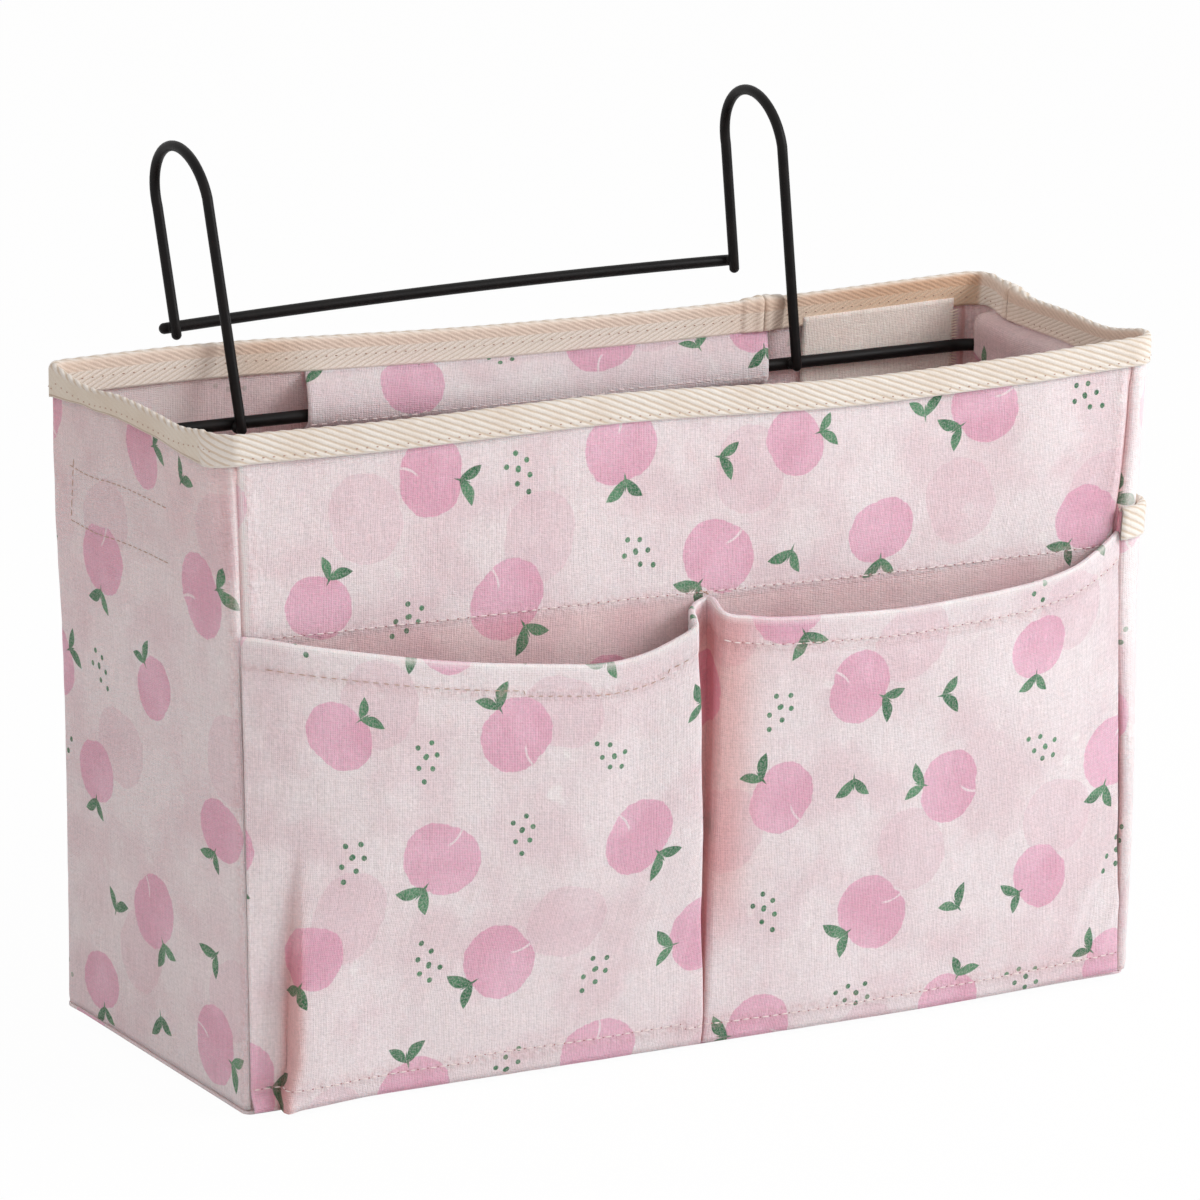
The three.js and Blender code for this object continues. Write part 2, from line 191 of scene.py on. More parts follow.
def through(pairs, value):
    """A smooth value through listed (place, value) pairs"""
    places, values = np.array(pairs, float).T
    slopes = np.gradient(values, places)
    index = np.clip(np.searchsorted(places, value, side="right") - 1, 0, len(places) - 2)
    step = places[index + 1] - places[index]
    share = np.clip((value - places[index]) / step, 0, 1)
    first = (1 + 2 * share) * (1 - share) ** 2 * values[index]
    leaving = share * (1 - share) ** 2 * step * slopes[index]
    last = share**2 * (3 - 2 * share) * values[index + 1]
    arriving = share**2 * (share - 1) * step * slopes[index + 1]
    return first + leaving + last + arriving


def stack(*parts):
    return np.stack(np.broadcast_arrays(*parts), axis=-1)


def unit(vectors):
    """The same directions, each 1 long"""
    return vectors / np.linalg.norm(vectors, axis=-1, keepdims=True)


def beside(run):
    """The direction a quarter turn to the right of each flat direction"""
    return np.stack([run[..., 1], -run[..., 0]], axis=-1)


def totals(steps):
    """Running totals of steps, from 0"""
    return np.concatenate([[0], np.cumsum(steps)])


def crumple(points, size, seed):
    """Smooth noise from about -1 to 1 at each point"""
    flat = points.reshape(-1, 3) / size + seed * 7.3
    values = [noise.noise(Vector(point)) for point in flat]
    return 1.6 * np.array(values).reshape(points.shape[:-1])


def crease(along, z, place, direction, length, width, height):
    """A ridge across the cloth, or a furrow where height is negative"""
    turn = math.radians(direction)
    level, above = along - place[0], z - place[1]
    run = level * math.cos(turn) + above * math.sin(turn)
    across = above * math.cos(turn) - level * math.sin(turn)
    return height * hump(run, 0, length) * hump(across, 0, width)


# Bag outline


def corner_at(index, z):
    """The sharp corner that an upright edge is rounded from, and its radius"""
    base, rim = CORNERS[index % 4]
    share = np.clip(np.asarray(z, float) / BAG_HEIGHT, 0, 1)[..., None] ** FLARE_POWER
    values = lerp(np.array(base), np.array(rim), share)
    for table, column in ((EDGE_WIDENING, 2), (EDGE_BULGE, 0)):
        if index % 4 in table:
            amount, height, width = table[index % 4]
            values[..., column] += amount * hump(np.asarray(z, float), height, width)
    return values[..., :2], values[..., 2:]


def wall_frame(index, z):
    """Where a wall starts and ends between its rounded edges, and its outward direction"""
    first, first_radius = corner_at(index, z)
    last, last_radius = corner_at(index + 1, z)
    run = unit(last - first)
    if index % 4 == LEFT:
        last_radius = last_radius * (1 + BEVEL_LENGTH * bevel(z)[..., None])
    return first + run * first_radius, last - run * last_radius, beside(run)


def bevel(z):
    """How fully the front left edge is bevelled at a height, from 0 to 1"""
    return rise(*BEVEL_HEIGHTS, np.asarray(z, float))


# Folds and dents of each wall: place along it and height, direction, length, width, height
WALL_CREASES = {
    FRONT: (
        ((-60, 165), 78, 30, 22, 0.9),
        ((38, 172), 100, 26, 18, 0.8),
        ((118, 175), 95, 32, 12, 0.9),
        ((-5, 158), 20, 40, 9, -0.7),
    ),
    RIGHT: (((0, 120), 80, 50, 14, 1.0),),
    BACK: (((-60, 90), 70, 50, 20, 1.2), ((50, 60), 110, 45, 18, 1.0)),
    LEFT: (
        ((20, 150), 60, 30, 8, 1.0),
        ((38, 28), 40, 16, 4, 1.4),
        ((-28, 60), 100, 45, 10, 1.0),
        ((0, 95), 15, 30, 12, -0.9),
    ),
}


def swell(index, share, z):
    """How far a wall stands out of its flat face, with its folds and dents"""
    height = z / BAG_HEIGHT
    middle = 1 - (2 * share - 1) ** 2
    out = WALL_SWELL[index] * middle * np.sin(np.pi * np.clip(height, 0, 1)) ** 2
    out = out + RIM_SWELL[index] * middle * np.clip(height, 0, 1) ** 3
    first, last, _ = wall_frame(index, z)
    axis = 0 if index in (FRONT, BACK) else 1
    along = lerp(first[..., axis], last[..., axis], share)
    for details in WALL_CREASES[index]:
        out = out + crease(along, z, *details)
    return out * rise(0, 0.08, share) * rise(1, 0.92, share) * rise(0, 12, z)


def foot_drop(flat, z):
    """How far the bag's foot hangs below its base, more towards the front"""
    x, y = flat[..., 0], flat[..., 1]
    forward = np.clip((45 - y) / 100, 0, 1) * (1 - 0.35 * rise(70, 150, x))
    return FOOT_DROP * forward * (1 - np.clip(z / FOOT_DROP_TOP, 0, 1)) ** 2


def dip(index, share, z):
    """How far a wall's cloth hangs below its height, most at the rim"""
    return through(RIM_DIP[index], share) * np.clip(z / BAG_HEIGHT, 0, 1.1) ** 4


def wall(index):
    """A wall as a function: share along it, height and distance out give a point"""

    def point(share, z, out=0.0):
        share, z, out = np.broadcast_arrays(share, np.asarray(z, float), out)
        first, last, outward = wall_frame(index, z)
        flat = lerp(first, last, share[..., None])
        flat = flat + outward * (swell(index, share, z) + out)[..., None]
        return stack(flat[..., 0], flat[..., 1], z - dip(index, share, z) - foot_drop(flat, z))

    return point


def edge(index):
    """A rounded upright edge, as a function like a wall's"""

    def point(share, z, out=0.0):
        share, z, out = np.broadcast_arrays(share, np.asarray(z, float), out)
        _, start, _ = wall_frame(index - 1, z)
        end, _, _ = wall_frame(index, z)
        tip, _ = corner_at(index, z)
        if index % 4 == FRONT:
            tip = tip + np.array(BEVEL_SHIFT) * bevel(z)[..., None]
        s = share[..., None]
        weight = math.sqrt(0.5)
        parts = (1 - s) ** 2, 2 * weight * s * (1 - s), s**2
        total = sum(parts)
        flat = (start * parts[0] + tip * parts[1] + end * parts[2]) / total
        run = unit((tip - start) * (1 - s) + (end - tip) * s)
        flat = flat + beside(run) * out[..., None]
        z_dipped = z - dip(index % 4, 0.0, z)
        return stack(flat[..., 0], flat[..., 1], z_dipped - foot_drop(flat, z))

    return point


def share_at(index, place, z):
    """The share along a wall at which it passes a given x, or a given y on a side wall"""
    first, last, _ = wall_frame(index, np.asarray(z, float))
    axis = 0 if index in (FRONT, BACK) else 1
    return (place - first[..., axis]) / (last[..., axis] - first[..., axis])


def trace(stretches, z, out=0.0):
    """Points for each (place, shares) stretch in turn, with one column for each height"""
    z = np.asarray(z, float)
    return np.concatenate([place(shares[:, None], z, out) for place, shares in stretches])


def even(first, last, pitch, span):
    """Shares from first to last, about a pitch apart on a span that they are shares of"""
    count = max(2, int(round(abs(last - first) * span / pitch)))
    return np.linspace(first, last, count + 1)


def side_run(index, pitch=COLUMN_PITCH):
    """A side panel's course: the edge before its wall, the wall, and the edge after it"""
    rounding = np.linspace(0, 1, 9)
    return [
        (edge(index), rounding[:-1]),
        (wall(index), even(0, 1, pitch, 100)),
        (edge(index + 1), rounding[1:]),
    ]


def all_round(rounding, shares):
    """The bag's whole outline: each upright edge and the wall after it"""
    course = []
    for index in range(4):
        course += [(edge(index), rounding[:-1]), (wall(index), shares[:-1])]
    return course


# Meshes


def keep(name, mesh):
    piece = bpy.data.objects.new(name, mesh)
    bpy.context.scene.collection.objects.link(piece)
    return piece


def declare(piece, body, node):
    """Says which body a piece moves with, and hides the imported solid that it stands for"""
    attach(piece, body)
    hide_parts(node)


def mesh_from(name, points, faces):
    mesh = bpy.data.meshes.new(name)
    mesh.from_pydata((points.reshape(-1, 3) * MM).tolist(), [], faces.tolist())
    mesh.shade_smooth()
    mesh.update()
    return mesh


def grid_faces(rows, columns, loop_rows=False):
    """Faces between neighbouring points of a grid"""
    index = np.arange(rows * columns).reshape(rows, columns)
    if loop_rows:
        index = np.concatenate([index, index[:1]])
    corners = index[:-1, :-1], index[:-1, 1:], index[1:, 1:], index[1:, :-1]
    return np.stack(corners, axis=-1).reshape(-1, 4)


def run_length(points, axis):
    """Length along rows or columns of points, from 0, in millimetres"""
    steps = np.linalg.norm(np.diff(points, axis=axis), axis=-1)
    start = np.zeros_like(np.take(steps, [0], axis=axis))
    return np.concatenate([start, np.cumsum(steps, axis=axis)], axis=axis)


def lay_flat(points):
    """Fabric coordinates of a grid: across its rows and up its columns, in millimetres"""
    across = run_length(points, 1).mean(axis=0)
    up = run_length(points, 0).mean(axis=1)
    return stack(across[None, :], up[:, None])


def paint_uv(mesh, fabric, cut_at=(0, 0)):
    """Lays a mesh's points on the printed fabric, from the place where the piece is cut"""
    layer = mesh.uv_layers.new(name="fabric")
    spots = np.empty(len(mesh.loops), dtype=np.int32)
    mesh.loops.foreach_get("vertex_index", spots)
    values = fabric.reshape(-1, 2)[spots] * MM + np.array(cut_at) * MM
    layer.data.foreach_set("uv", values.astype(np.float32).ravel())


def paint_points(mesh, name, values):
    attribute = mesh.attributes.new(name, "FLOAT", "POINT")
    attribute.data.foreach_set("value", np.asarray(values, np.float32).ravel())


def finish_cloth(name, mesh, fabric, materials, node):
    for material in materials:
        mesh.materials.append(material)
    piece = keep(name, mesh)
    solid = piece.modifiers.new("thickness", "SOLIDIFY")
    solid.thickness = CLOTH * MM
    solid.offset = 0
    solid.material_offset = 1
    declare(piece, "bag", node)


def cloth_piece(
    name, points, cut_at, materials, node, painted_light=0, seam=0, painted_shade=0, fabric=None,
):
    """A cloth sheet about a grid of middle points, whose printed side looks outward, with painted
    light, painted seam shade and painted shade given at its points
    """
    fabric = lay_flat(points) if fabric is None else fabric
    mesh = mesh_from(name, points, grid_faces(*points.shape[:2]))
    paint_uv(mesh, fabric, cut_at)
    for layer, values in (("painted_light", painted_light), ("seam", seam), ("painted_shade", painted_shade)):
        paint_points(mesh, layer, np.broadcast_to(values, points.shape[:2]))
    finish_cloth(name, mesh, fabric, materials, node)


# Shader maths


class Shade:
    """A node's output that can be added, multiplied and so on like a number"""

    def __init__(self, maker, socket):
        self.maker = maker
        self.socket = socket

    def math(self, operation, *values):
        return self.maker.node("ShaderNodeMath", {"operation": operation}, dict(enumerate(values)))

    def __add__(self, other):
        return self.math("ADD", self, other)

    def __sub__(self, other):
        return self.math("SUBTRACT", self, other)

    def __rsub__(self, other):
        return self.math("SUBTRACT", other, self)

    def __mul__(self, other):
        return self.math("MULTIPLY", self, other)

    def __truediv__(self, other):
        return self.math("DIVIDE", self, other)

    def __pow__(self, other):
        return self.math("POWER", self, other)

    def __abs__(self):
        return self.math("ABSOLUTE", self)

    __radd__ = __add__
    __rmul__ = __mul__


class Maker:
    """Fills a node tree, one node at a time"""

    def __init__(self, tree):
        self.tree = tree
        self.tree.nodes.clear()

    def node(self, kind, settings=None, inputs=None, output=0):
        """A new node's output, after its settings and then its values and links"""
        node = self.tree.nodes.new(kind)
        for key, value in (settings or {}).items():
            setattr(node, key, value)
        for key, value in (inputs or {}).items():
            if isinstance(value, Shade):
                self.tree.links.new(value.socket, node.inputs[key])
            else:
                node.inputs[key].default_value = value
        return Shade(self, node.outputs[output]) if node.outputs else None

    def outputs(self, shade, *names):
        return [Shade(self, shade.socket.node.outputs[name]) for name in names]

    def largest(self, *values):
        found = values[0]
        for value in values[1:]:
            found = found.math("MAXIMUM", found, value)
        return found

    def smallest(self, first, second):
        return first.math("MINIMUM", first, second)

    def split(self, vector):
        first = self.node("ShaderNodeSeparateXYZ", {}, {0: vector})
        return self.outputs(first, "X", "Y", "Z")

    def join(self, x, y, z=0.0):
        return self.node("ShaderNodeCombineXYZ", {}, {0: x, 1: y, 2: z})

    def direct_ray(self):
        """1 for a ray from the camera or from a glossy face, 0 for the rest"""
        path = self.node("ShaderNodeLightPath")
        return self.largest(*self.outputs(path, "Is Camera Ray", "Is Glossy Ray"))


class Finish(Maker):
    """A material and the nodes that make it"""

    def __init__(self, name):
        self.material = bpy.data.materials.new(name)
        self.material.use_nodes = True
        super().__init__(self.material.node_tree)

    def step(self, value, low, high, start=0.0, end=1.0):
        """A smooth step from start to end as value goes from low to high"""
        settings = {"interpolation_type": "SMOOTHSTEP", "clamp": True}
        inputs = {0: value, 1: low, 2: high, 3: start, 4: end}
        return self.node("ShaderNodeMapRange", settings, inputs)

    def mix(self, share, first, last, blend="MIX"):
        settings = {"data_type": "RGBA", "blend_type": blend}
        return self.node("ShaderNodeMix", settings, {0: share, 6: first, 7: last}, 2)

    def shaded(self, colour, shade):
        """A colour made darker or lighter by a number about 1"""
        return self.mix(1.0, colour, self.join(shade, shade, shade), "MULTIPLY")

    def fabric(self):
        return self.node("ShaderNodeUVMap", {"uv_map": "fabric"})

    def object_place(self):
        return self.node("ShaderNodeTexCoord", {}, {}, 3)

    def attribute(self, name):
        return self.node("ShaderNodeAttribute", {"attribute_name": name}, {}, 2)

    def noise(self, place, scale, detail=2.0, roughness=0.5, distortion=0.0):
        inputs = {
            "Vector": place, "Scale": scale, "Detail": detail,
            "Roughness": roughness, "Distortion": distortion,
        }
        return self.node("ShaderNodeTexNoise", {}, inputs)

    def chance(self, place):
        """Three random numbers for each whole-numbered place"""
        first = self.node("ShaderNodeTexWhiteNoise", {"noise_dimensions": "3D"}, {0: place}, 1)
        return self.split(first)

    def bump(self, height, distance, strength=1.0, normal=None):
        inputs = {"Height": height, "Distance": distance, "Strength": strength}
        if normal is not None:
            inputs["Normal"] = normal
        return self.node("ShaderNodeBump", {}, inputs)

    def surface(self, inputs):
        shader = self.node("ShaderNodeBsdfPrincipled", {}, inputs)
        self.node("ShaderNodeOutputMaterial", {}, {"Surface": shader})
        return self.material


def rgb(red, green, blue):
    """A colour given as it shows on screen, from 0 to 255"""

    def linear(level):
        level = level / 255
        return level / 12.92 if level <= 0.04045 else ((level + 0.055) / 1.055) ** 2.4

    return (linear(red), linear(green), linear(blue), 1.0)


# Print: round fruits with a pair of leaves, leaf sprigs and seed dots, laid out by chance on
# shifted grids. Sizes are in metres of fabric.
FRUIT_PITCH = (0.066, 0.07)
FRUIT_RADIUS = 0.0099
LOBE = 0.0021
SEED_RADIUS = 0.00085

# Middles of a cluster's dots, in millimetres, apart from the one at its own middle
SEED_PLACES = (
    (0.2, 0.4), (3.6, 1.6), (-3.2, 2.4), (1.0, 5.0), (-1.7, -3.8), (3.0, -3.0), (0.9, -7.6),
)

# Colours of print and cloth, the painted shade along seams, and the patch's reverse painted lighter as
# if lit
PINK = rgb(234, 188, 208)
DEEP_PINK = rgb(226, 173, 195)
GHOST_PINK = rgb(226, 192, 203)
LEAF_GREEN = rgb(88, 144, 106)
DARK_GREEN = rgb(56, 116, 80)
CLOTH_PINK = rgb(239, 229, 231)
CLOTH_BLUSH = rgb(233, 216, 220)
CLOTH_WHITE = rgb(247, 243, 242)
REVERSE_PINK = rgb(228, 204, 202)
SEAM_SHADE_PINK = rgb(214, 176, 178)
PATCH_LIT_PINK = rgb(255, 238, 228)

# Warm pink painted shade for folds, recesses, pockets and seam edges
PAINTED_SHADE_PINK = rgb(238, 196, 192)


def scatter(finish, x, y, pitch, shift, jitter, seed):
    """Place from the nearest motif's middle, turned by chance, and the motif's random number"""
    cells = []
    for value, size, offset in zip((x, y), pitch, shift):
        scaled = value / size + offset
        cell = scaled.math("FLOOR", scaled)
        cells.append((scaled - cell, cell, size))
    (in_x, cell_x, size_x), (in_y, cell_y, size_y) = cells
    first, second, third = finish.chance(finish.join(cell_x, cell_y, seed))
    from_x = (in_x - 0.5) * size_x - (first - 0.5) * (2 * jitter)
    from_y = (in_y - 0.5) * size_y - (second - 0.5) * (2 * jitter)
    angle = third * (2 * math.pi)
    cosine = angle.math("COSINE", angle)
    sine = angle.math("SINE", angle)
    turned_x = from_x * cosine + from_y * sine
    turned_y = from_y * cosine - from_x * sine
    luck = first + second * 2.7 + third * 5.3
    return turned_x, turned_y, luck.math("FRACT", luck)


def distance(x, y, centre):
    square = (x - centre[0]) ** 2.0 + (y - centre[1]) ** 2.0
    return square.math("SQRT", square)


def leaf(x, y, base, direction, length, width, bend):
    """How far inside a curved leaf a place is; below 0 outside it"""
    turn = math.radians(direction)
    from_x, from_y = x - base[0], y - base[1]
    run = from_x * math.cos(turn) + from_y * math.sin(turn)
    across = from_y * math.cos(turn) - from_x * math.sin(turn)
    along = run * (2 / length) - 1
    half = (1 - along * along) * (width / 2)
    return half - abs(across - half * bend)


def fruit(finish, x, y, wobble):
    """Masks of a fruit's body of two lobes, and of the short curved stroke on it"""
    near = finish.smallest(distance(x, y, (LOBE, 0)), distance(x, y, (-LOBE * 0.8, -LOBE * 0.35)))
    body = finish.step(near + wobble, FRUIT_RADIUS - 0.0002, FRUIT_RADIUS + 0.0002, 1.0, 0.0)
    stroke = distance(x, y, (FRUIT_RADIUS * 0.75, -FRUIT_RADIUS * 0.95)) - FRUIT_RADIUS * 0.85
    cleft = finish.step(abs(stroke) + wobble * 0.3, 0.0002, 0.0005, 1.0, 0.0)
    end = distance(x, y, (-FRUIT_RADIUS * 0.1, -FRUIT_RADIUS * 0.85))
    return body, cleft * finish.step(end, 0.003, 0.0048, 0.65, 0.0)


def foliage(finish, x, y, top, wobble):
    """Mask of a pair of leaves and their stalk"""
    leaves = finish.largest(
        leaf(x, y, (0.0002, top), 38, 0.0088, 0.0036, 0.5),
        leaf(x, y, (-0.0002, top), 128, 0.0078, 0.0033, -0.4),
        leaf(x, y, (0, top - 0.002), 84, 0.0062, 0.0009, 0.2),
    )
    return finish.step(leaves - wobble * 0.3, -0.0001, 0.0002)


def print_masks(finish, place):
    """Masks of the print: fruits, their strokes, leaves with dots, and faint fruits"""
    x, y, _ = finish.split(place)
    rough = (finish.noise(place, 260, 2.0) - 0.5) * 0.0016
    bodies, clefts, leaves, lucks = [], [], [], []
    for shift, seed in (((0.0, 0.0), 1.0), ((0.5, 0.5), 5.0)):
        near_x, near_y, luck = scatter(finish, x, y, FRUIT_PITCH, shift, 0.0055, seed)
        size = luck * 0.22 + 0.9
        near_x, near_y = near_x / size, near_y / size
        body, cleft = fruit(finish, near_x, near_y, rough)
        bodies.append(body)
        clefts.append(cleft * body * finish.step(luck, 0.45, 0.5))
        leaves.append(foliage(finish, near_x, near_y, FRUIT_RADIUS * 0.9, rough))
        lucks.append(luck)
    for shift, seed in (((0.5, 0.0), 9.0), ((0.0, 0.5), 13.0)):
        near_x, near_y, luck = scatter(finish, x, y, FRUIT_PITCH, shift, 0.008, seed)
        sprig = foliage(finish, near_x, near_y, -0.003, rough)
        leaves.append(sprig * finish.step(luck, 0.64, 0.65))
        leaves.append(seeds(finish, near_x, near_y) * finish.step(luck, 0.42, 0.43, 1.0, 0.0))
    ghost_x, ghost_y, _ = scatter(finish, x, y, FRUIT_PITCH, (0.27, 0.22), 0.01, 21.0)
    ghost, _ = fruit(finish, ghost_x * 0.85, ghost_y * 0.85, rough)
    return finish.largest(*bodies), finish.largest(*clefts), finish.largest(*leaves), ghost


def seeds(finish, x, y):
    """A loose cluster of dots"""
    near = distance(x, y, (0, 0))
    for place in SEED_PLACES:
        near = finish.smallest(near, distance(x, y, (place[0] * MM, place[1] * MM)))
    return finish.step(near, SEED_RADIUS - 0.0001, SEED_RADIUS + 0.0001, 1.0, 0.0)


# Distance between the cloth's threads, in metres
THREAD_PITCH = 0.00056


def weave(finish, place):
    """Plain weave: crossing threads, with thicker slubs down the cloth"""
    x, y, _ = finish.split(place)
    lines = []
    for value in (x, y):
        wave = value * (math.pi / THREAD_PITCH)
        lines.append(abs(wave.math("SINE", wave)))
    long_x = finish.noise(finish.join(x * 2200.0, y * 90.0), 1.0, 2.0)
    long_y = finish.noise(finish.join(x * 120.0, y * 1900.0), 1.0, 2.0)
    return lines[0] * lines[1], long_x, long_y


def canvas(name, printed, pale_side, reverse_tint=REVERSE_PINK):
    """Printed canvas: how strong the print is, and how far the cloth fades to the tint"""
    finish = Finish(name)
    place = finish.fabric()
    threads, slub, pick = weave(finish, place)
    blotch = finish.noise(place, 34, 3.0, 0.55)
    cloud = finish.noise(place, 95, 2.0)
    grain = finish.noise(place, 1500, 2.0, 0.7)
    colour = finish.mix(finish.step(blotch, 0.42, 0.66), CLOTH_PINK, CLOTH_BLUSH)
    colour = finish.mix(finish.step(cloud, 0.64, 0.76) * 0.55, colour, CLOTH_WHITE)
    wear_and_shade = finish.step(grain, 0.35, 0.6, 0.72, 1.0)
    body, cleft, green, ghost = print_masks(finish, place)
    colour = finish.mix(ghost * 0.35, colour, GHOST_PINK)
    tint = finish.mix(finish.step(blotch, 0.4, 0.6), PINK, DEEP_PINK)
    tint = finish.mix(cleft, tint, CLOTH_WHITE)
    colour = finish.mix(body * wear_and_shade * printed, colour, tint)
    leaf_tint = finish.mix(finish.step(cloud, 0.4, 0.6), LEAF_GREEN, DARK_GREEN)
    colour = finish.mix(green * wear_and_shade * printed, colour, leaf_tint)
    if pale_side:
        colour = finish.mix(pale_side, colour, reverse_tint)
    streak = finish.step(slub, 0.3, 0.7, -0.045, 0.045) + finish.step(pick, 0.3, 0.7, -0.025, 0.025)
    fleck = finish.noise(place, 900, 1.0)
    seam = finish.attribute("seam")
    pucker = finish.noise(place, 520, 2.0)
    shade = streak + (grain - 0.5) * 0.3 + (fleck - 0.5) * 0.25 + threads * 0.07 + 0.96
    colour = finish.shaded(colour, shade)
    # Painted shade in the puckers along seams and lines of sewing
    colour = finish.mix(seam * finish.step(pucker, 0.35, 0.6, 0.4, 0.08), colour, SEAM_SHADE_PINK)
    # Painted shade: darkens and warms the cloth where the point attribute says
    colour = finish.mix(finish.attribute("painted_shade"), colour, PAINTED_SHADE_PINK, "MULTIPLY")
    # Painted light: whitens the cloth where the point attribute says, for highlights and lit strips
    colour = finish.mix(finish.attribute("painted_light"), colour, CLOTH_WHITE)
    height = threads * 0.5 + slub * 0.6 + pick * 0.4 + grain * 0.6 + fleck * 0.6
    normal = finish.bump(height, 0.0003, 0.9)
    normal = finish.bump(finish.noise(place, 160, 3.0), 0.0006, 0.5, normal)
    normal = finish.bump(pucker * seam, 0.0012, 0.9, normal)
    return finish.surface({
        "Base Color": colour,
        "Roughness": 0.92,
        "Specular IOR Level": 0.2,
        "Sheen Weight": 0.12,
        "Sheen Roughness": 0.5,
        "Subsurface Weight": 0.35,
        "Subsurface Radius": (1.0, 0.55, 0.5),
        "Subsurface Scale": 0.0015,
        "Normal": normal,
    })


# Colours of the tape: its threads, its inner side's base painted lighter as if lit, painted shade on
# that side's upper band, painted shade inside the rim and on the left wall's tape, painted shade in
# the valleys between its ridges, and a brown line along its lower edge
TAPE_CREAM = rgb(236, 232, 224)
TAPE_SAND = rgb(230, 222, 211)
TAPE_INSIDE_LIT = rgb(253, 246, 235)
TAPE_BAND_SHADE = rgb(238, 208, 184)
TAPE_SHADE = rgb(222, 198, 178)
TAPE_LEFT_SHADE = rgb(242, 238, 230)
TAPE_VALLEY_SHADE = rgb(211, 194, 172)
TAPE_EDGE = rgb(160, 132, 110)

# Lengths over the tape's face between which the part with the left wall's painted shade and flatter
# ridges ends
SHADED_LEG_END = (8.3, 9.4)


def cotton_tape():
    """Ridged cotton tape, whose ridges fold back where the tape turns over the rim"""
    finish = Finish("twill_tape")
    place = finish.fabric()
    fuzz = finish.noise(place, 1400, 3.0, 0.7)
    slow = finish.noise(place, 60, 3.0)
    x, y, _ = finish.split(place)
    bend = y - TAPE_TURN * MM
    folded = y - finish.largest(bend, bend * 0.0) * 2.0
    wander = (finish.noise(place, 420, 1.0) - 0.5) * 1.3
    phase = (x / (RIDGE_RUN * MM) + folded / (RIDGE_RISE * MM)) * (2 * math.pi) + wander
    wave = phase.math("COSINE", phase) * 0.5 + 0.5
    inside = finish.attribute("inside")
    fine = phase * INSIDE_RIDGES
    fine = fine.math("COSINE", fine) * 0.5 + 0.5
    wave = wave * (1.0 - inside) + fine * inside
    shown = finish.step(finish.smallest(y, TAPE_RUN * MM - y), 0.0002, 0.0007)
    # Painted shade on the inner face's upper band
    band = inside * finish.step(y, (TAPE_TURN - 0.3) * MM, (TAPE_TURN + 0.3) * MM, 1.0, 0.0)
    # Painted shade and flatter ridges on the outer leg of the left wall's tape
    wear_and_shade = finish.step(y, SHADED_LEG_END[0] * MM, SHADED_LEG_END[1] * MM, 1.0, 0.0)
    wear_and_shade = finish.attribute("even") * wear_and_shade
    # Painted shade in the valleys between the ridges
    valley = finish.step(wave, 0.0, 0.5, 0.85, 0.0) * shown * (1.0 - band * 0.6)
    valley = valley * (1.0 - inside * 0.35) * (1.0 - wear_and_shade * 0.8)
    colour = finish.mix(finish.step(slow, 0.35, 0.7), TAPE_CREAM, TAPE_SAND)
    # Inner face painted lighter as if lit
    colour = finish.mix(inside, colour, TAPE_INSIDE_LIT)
    colour = finish.mix(band * 0.5, colour, TAPE_BAND_SHADE)
    # Painted shade inside the rim
    colour = finish.mix(finish.attribute("painted_tape_shade") * inside, colour, TAPE_SHADE, "MULTIPLY")
    colour = finish.mix(wear_and_shade, colour, TAPE_LEFT_SHADE, "MULTIPLY")
    colour = finish.mix(valley, colour, TAPE_VALLEY_SHADE)
    # A brown line along the tape's lower edge on the left wall
    edge_line = finish.step(abs(y - 0.0006), 0.0001, 0.0004, 0.6, 0.0) * wear_and_shade
    colour = finish.mix(edge_line, colour, TAPE_EDGE)
    colour = finish.shaded(colour, (fuzz - 0.5) * 0.25 + 1.0)
    normal = finish.bump(wave * shown * (1.0 - inside * 0.6) * (1.0 - wear_and_shade * 0.75), 0.00026, 0.8)
    return finish.surface({
        "Base Color": colour,
        "Roughness": 0.9,
        "Specular IOR Level": 0.2,
        "Sheen Weight": 0.15,
        "Normal": finish.bump(fuzz, 0.0002, 0.8, normal),
    })


def sewing_thread(name, colour):
    finish = Finish(name)
    twist = finish.noise(finish.object_place(), 2500, 2.0)
    return finish.surface({
        "Base Color": finish.shaded(colour, (twist - 0.5) * 0.3 + 1.0),
        "Roughness": 0.7,
        "Sheen Weight": 0.2,
        "Normal": finish.bump(twist, 0.0001, 0.6),
    })


def grey_board():
    finish = Finish("pressed_board")
    place = finish.object_place()
    fibre = finish.noise(place, 700, 4.0, 0.7)
    flecks = finish.noise(place, 240, 3.0, 0.6, 1.5)
    colour = finish.mix(finish.step(fibre, 0.3, 0.7), rgb(178, 164, 144), rgb(196, 184, 166))
    colour = finish.mix(finish.step(flecks, 0.62, 0.7) * 0.5, colour, rgb(136, 118, 98))
    return finish.surface({
        "Base Color": colour,
        "Roughness": 0.88,
        "Normal": finish.bump(fibre, 0.0002, 0.5),
    })


def black_coating():
    finish = Finish("black_coating")
    place = finish.object_place()
    peel = finish.noise(place, 1300, 2.0)
    patch = finish.noise(place, 150, 3.0)
    colour = finish.mix(finish.step(patch, 0.4, 0.7), rgb(15, 13, 13), rgb(24, 21, 20))
    return finish.surface({
        "Base Color": colour,
        "Roughness": finish.step(patch, 0.3, 0.7, 0.4, 0.52),
        "Specular IOR Level": 0.14,
        "Normal": finish.bump(peel, 0.00008, 0.5),
    })


# Bag panels


def seam_roll(distance_in):
    """How far a panel's edge turns in towards its seam"""
    return -SEAM_ROLL * (1 - rise(0, SEAM_ROLL * 1.6, distance_in)) ** 1.5


PANEL_FOOT = CLOTH + SEWN_GAP
PANEL_TOP = BAG_HEIGHT - TAPE - SEWN_GAP
TAPE_FOOT = BAG_HEIGHT - TAPE_WIDTH


def cloth_normals(points):
    """The outward direction at each point of a grid"""
    return unit(np.cross(np.gradient(points, axis=1), np.gradient(points, axis=0)))


def push(points, out):
    """Moves a grid of points along its own normals"""
    return points + cloth_normals(points) * out[..., None]


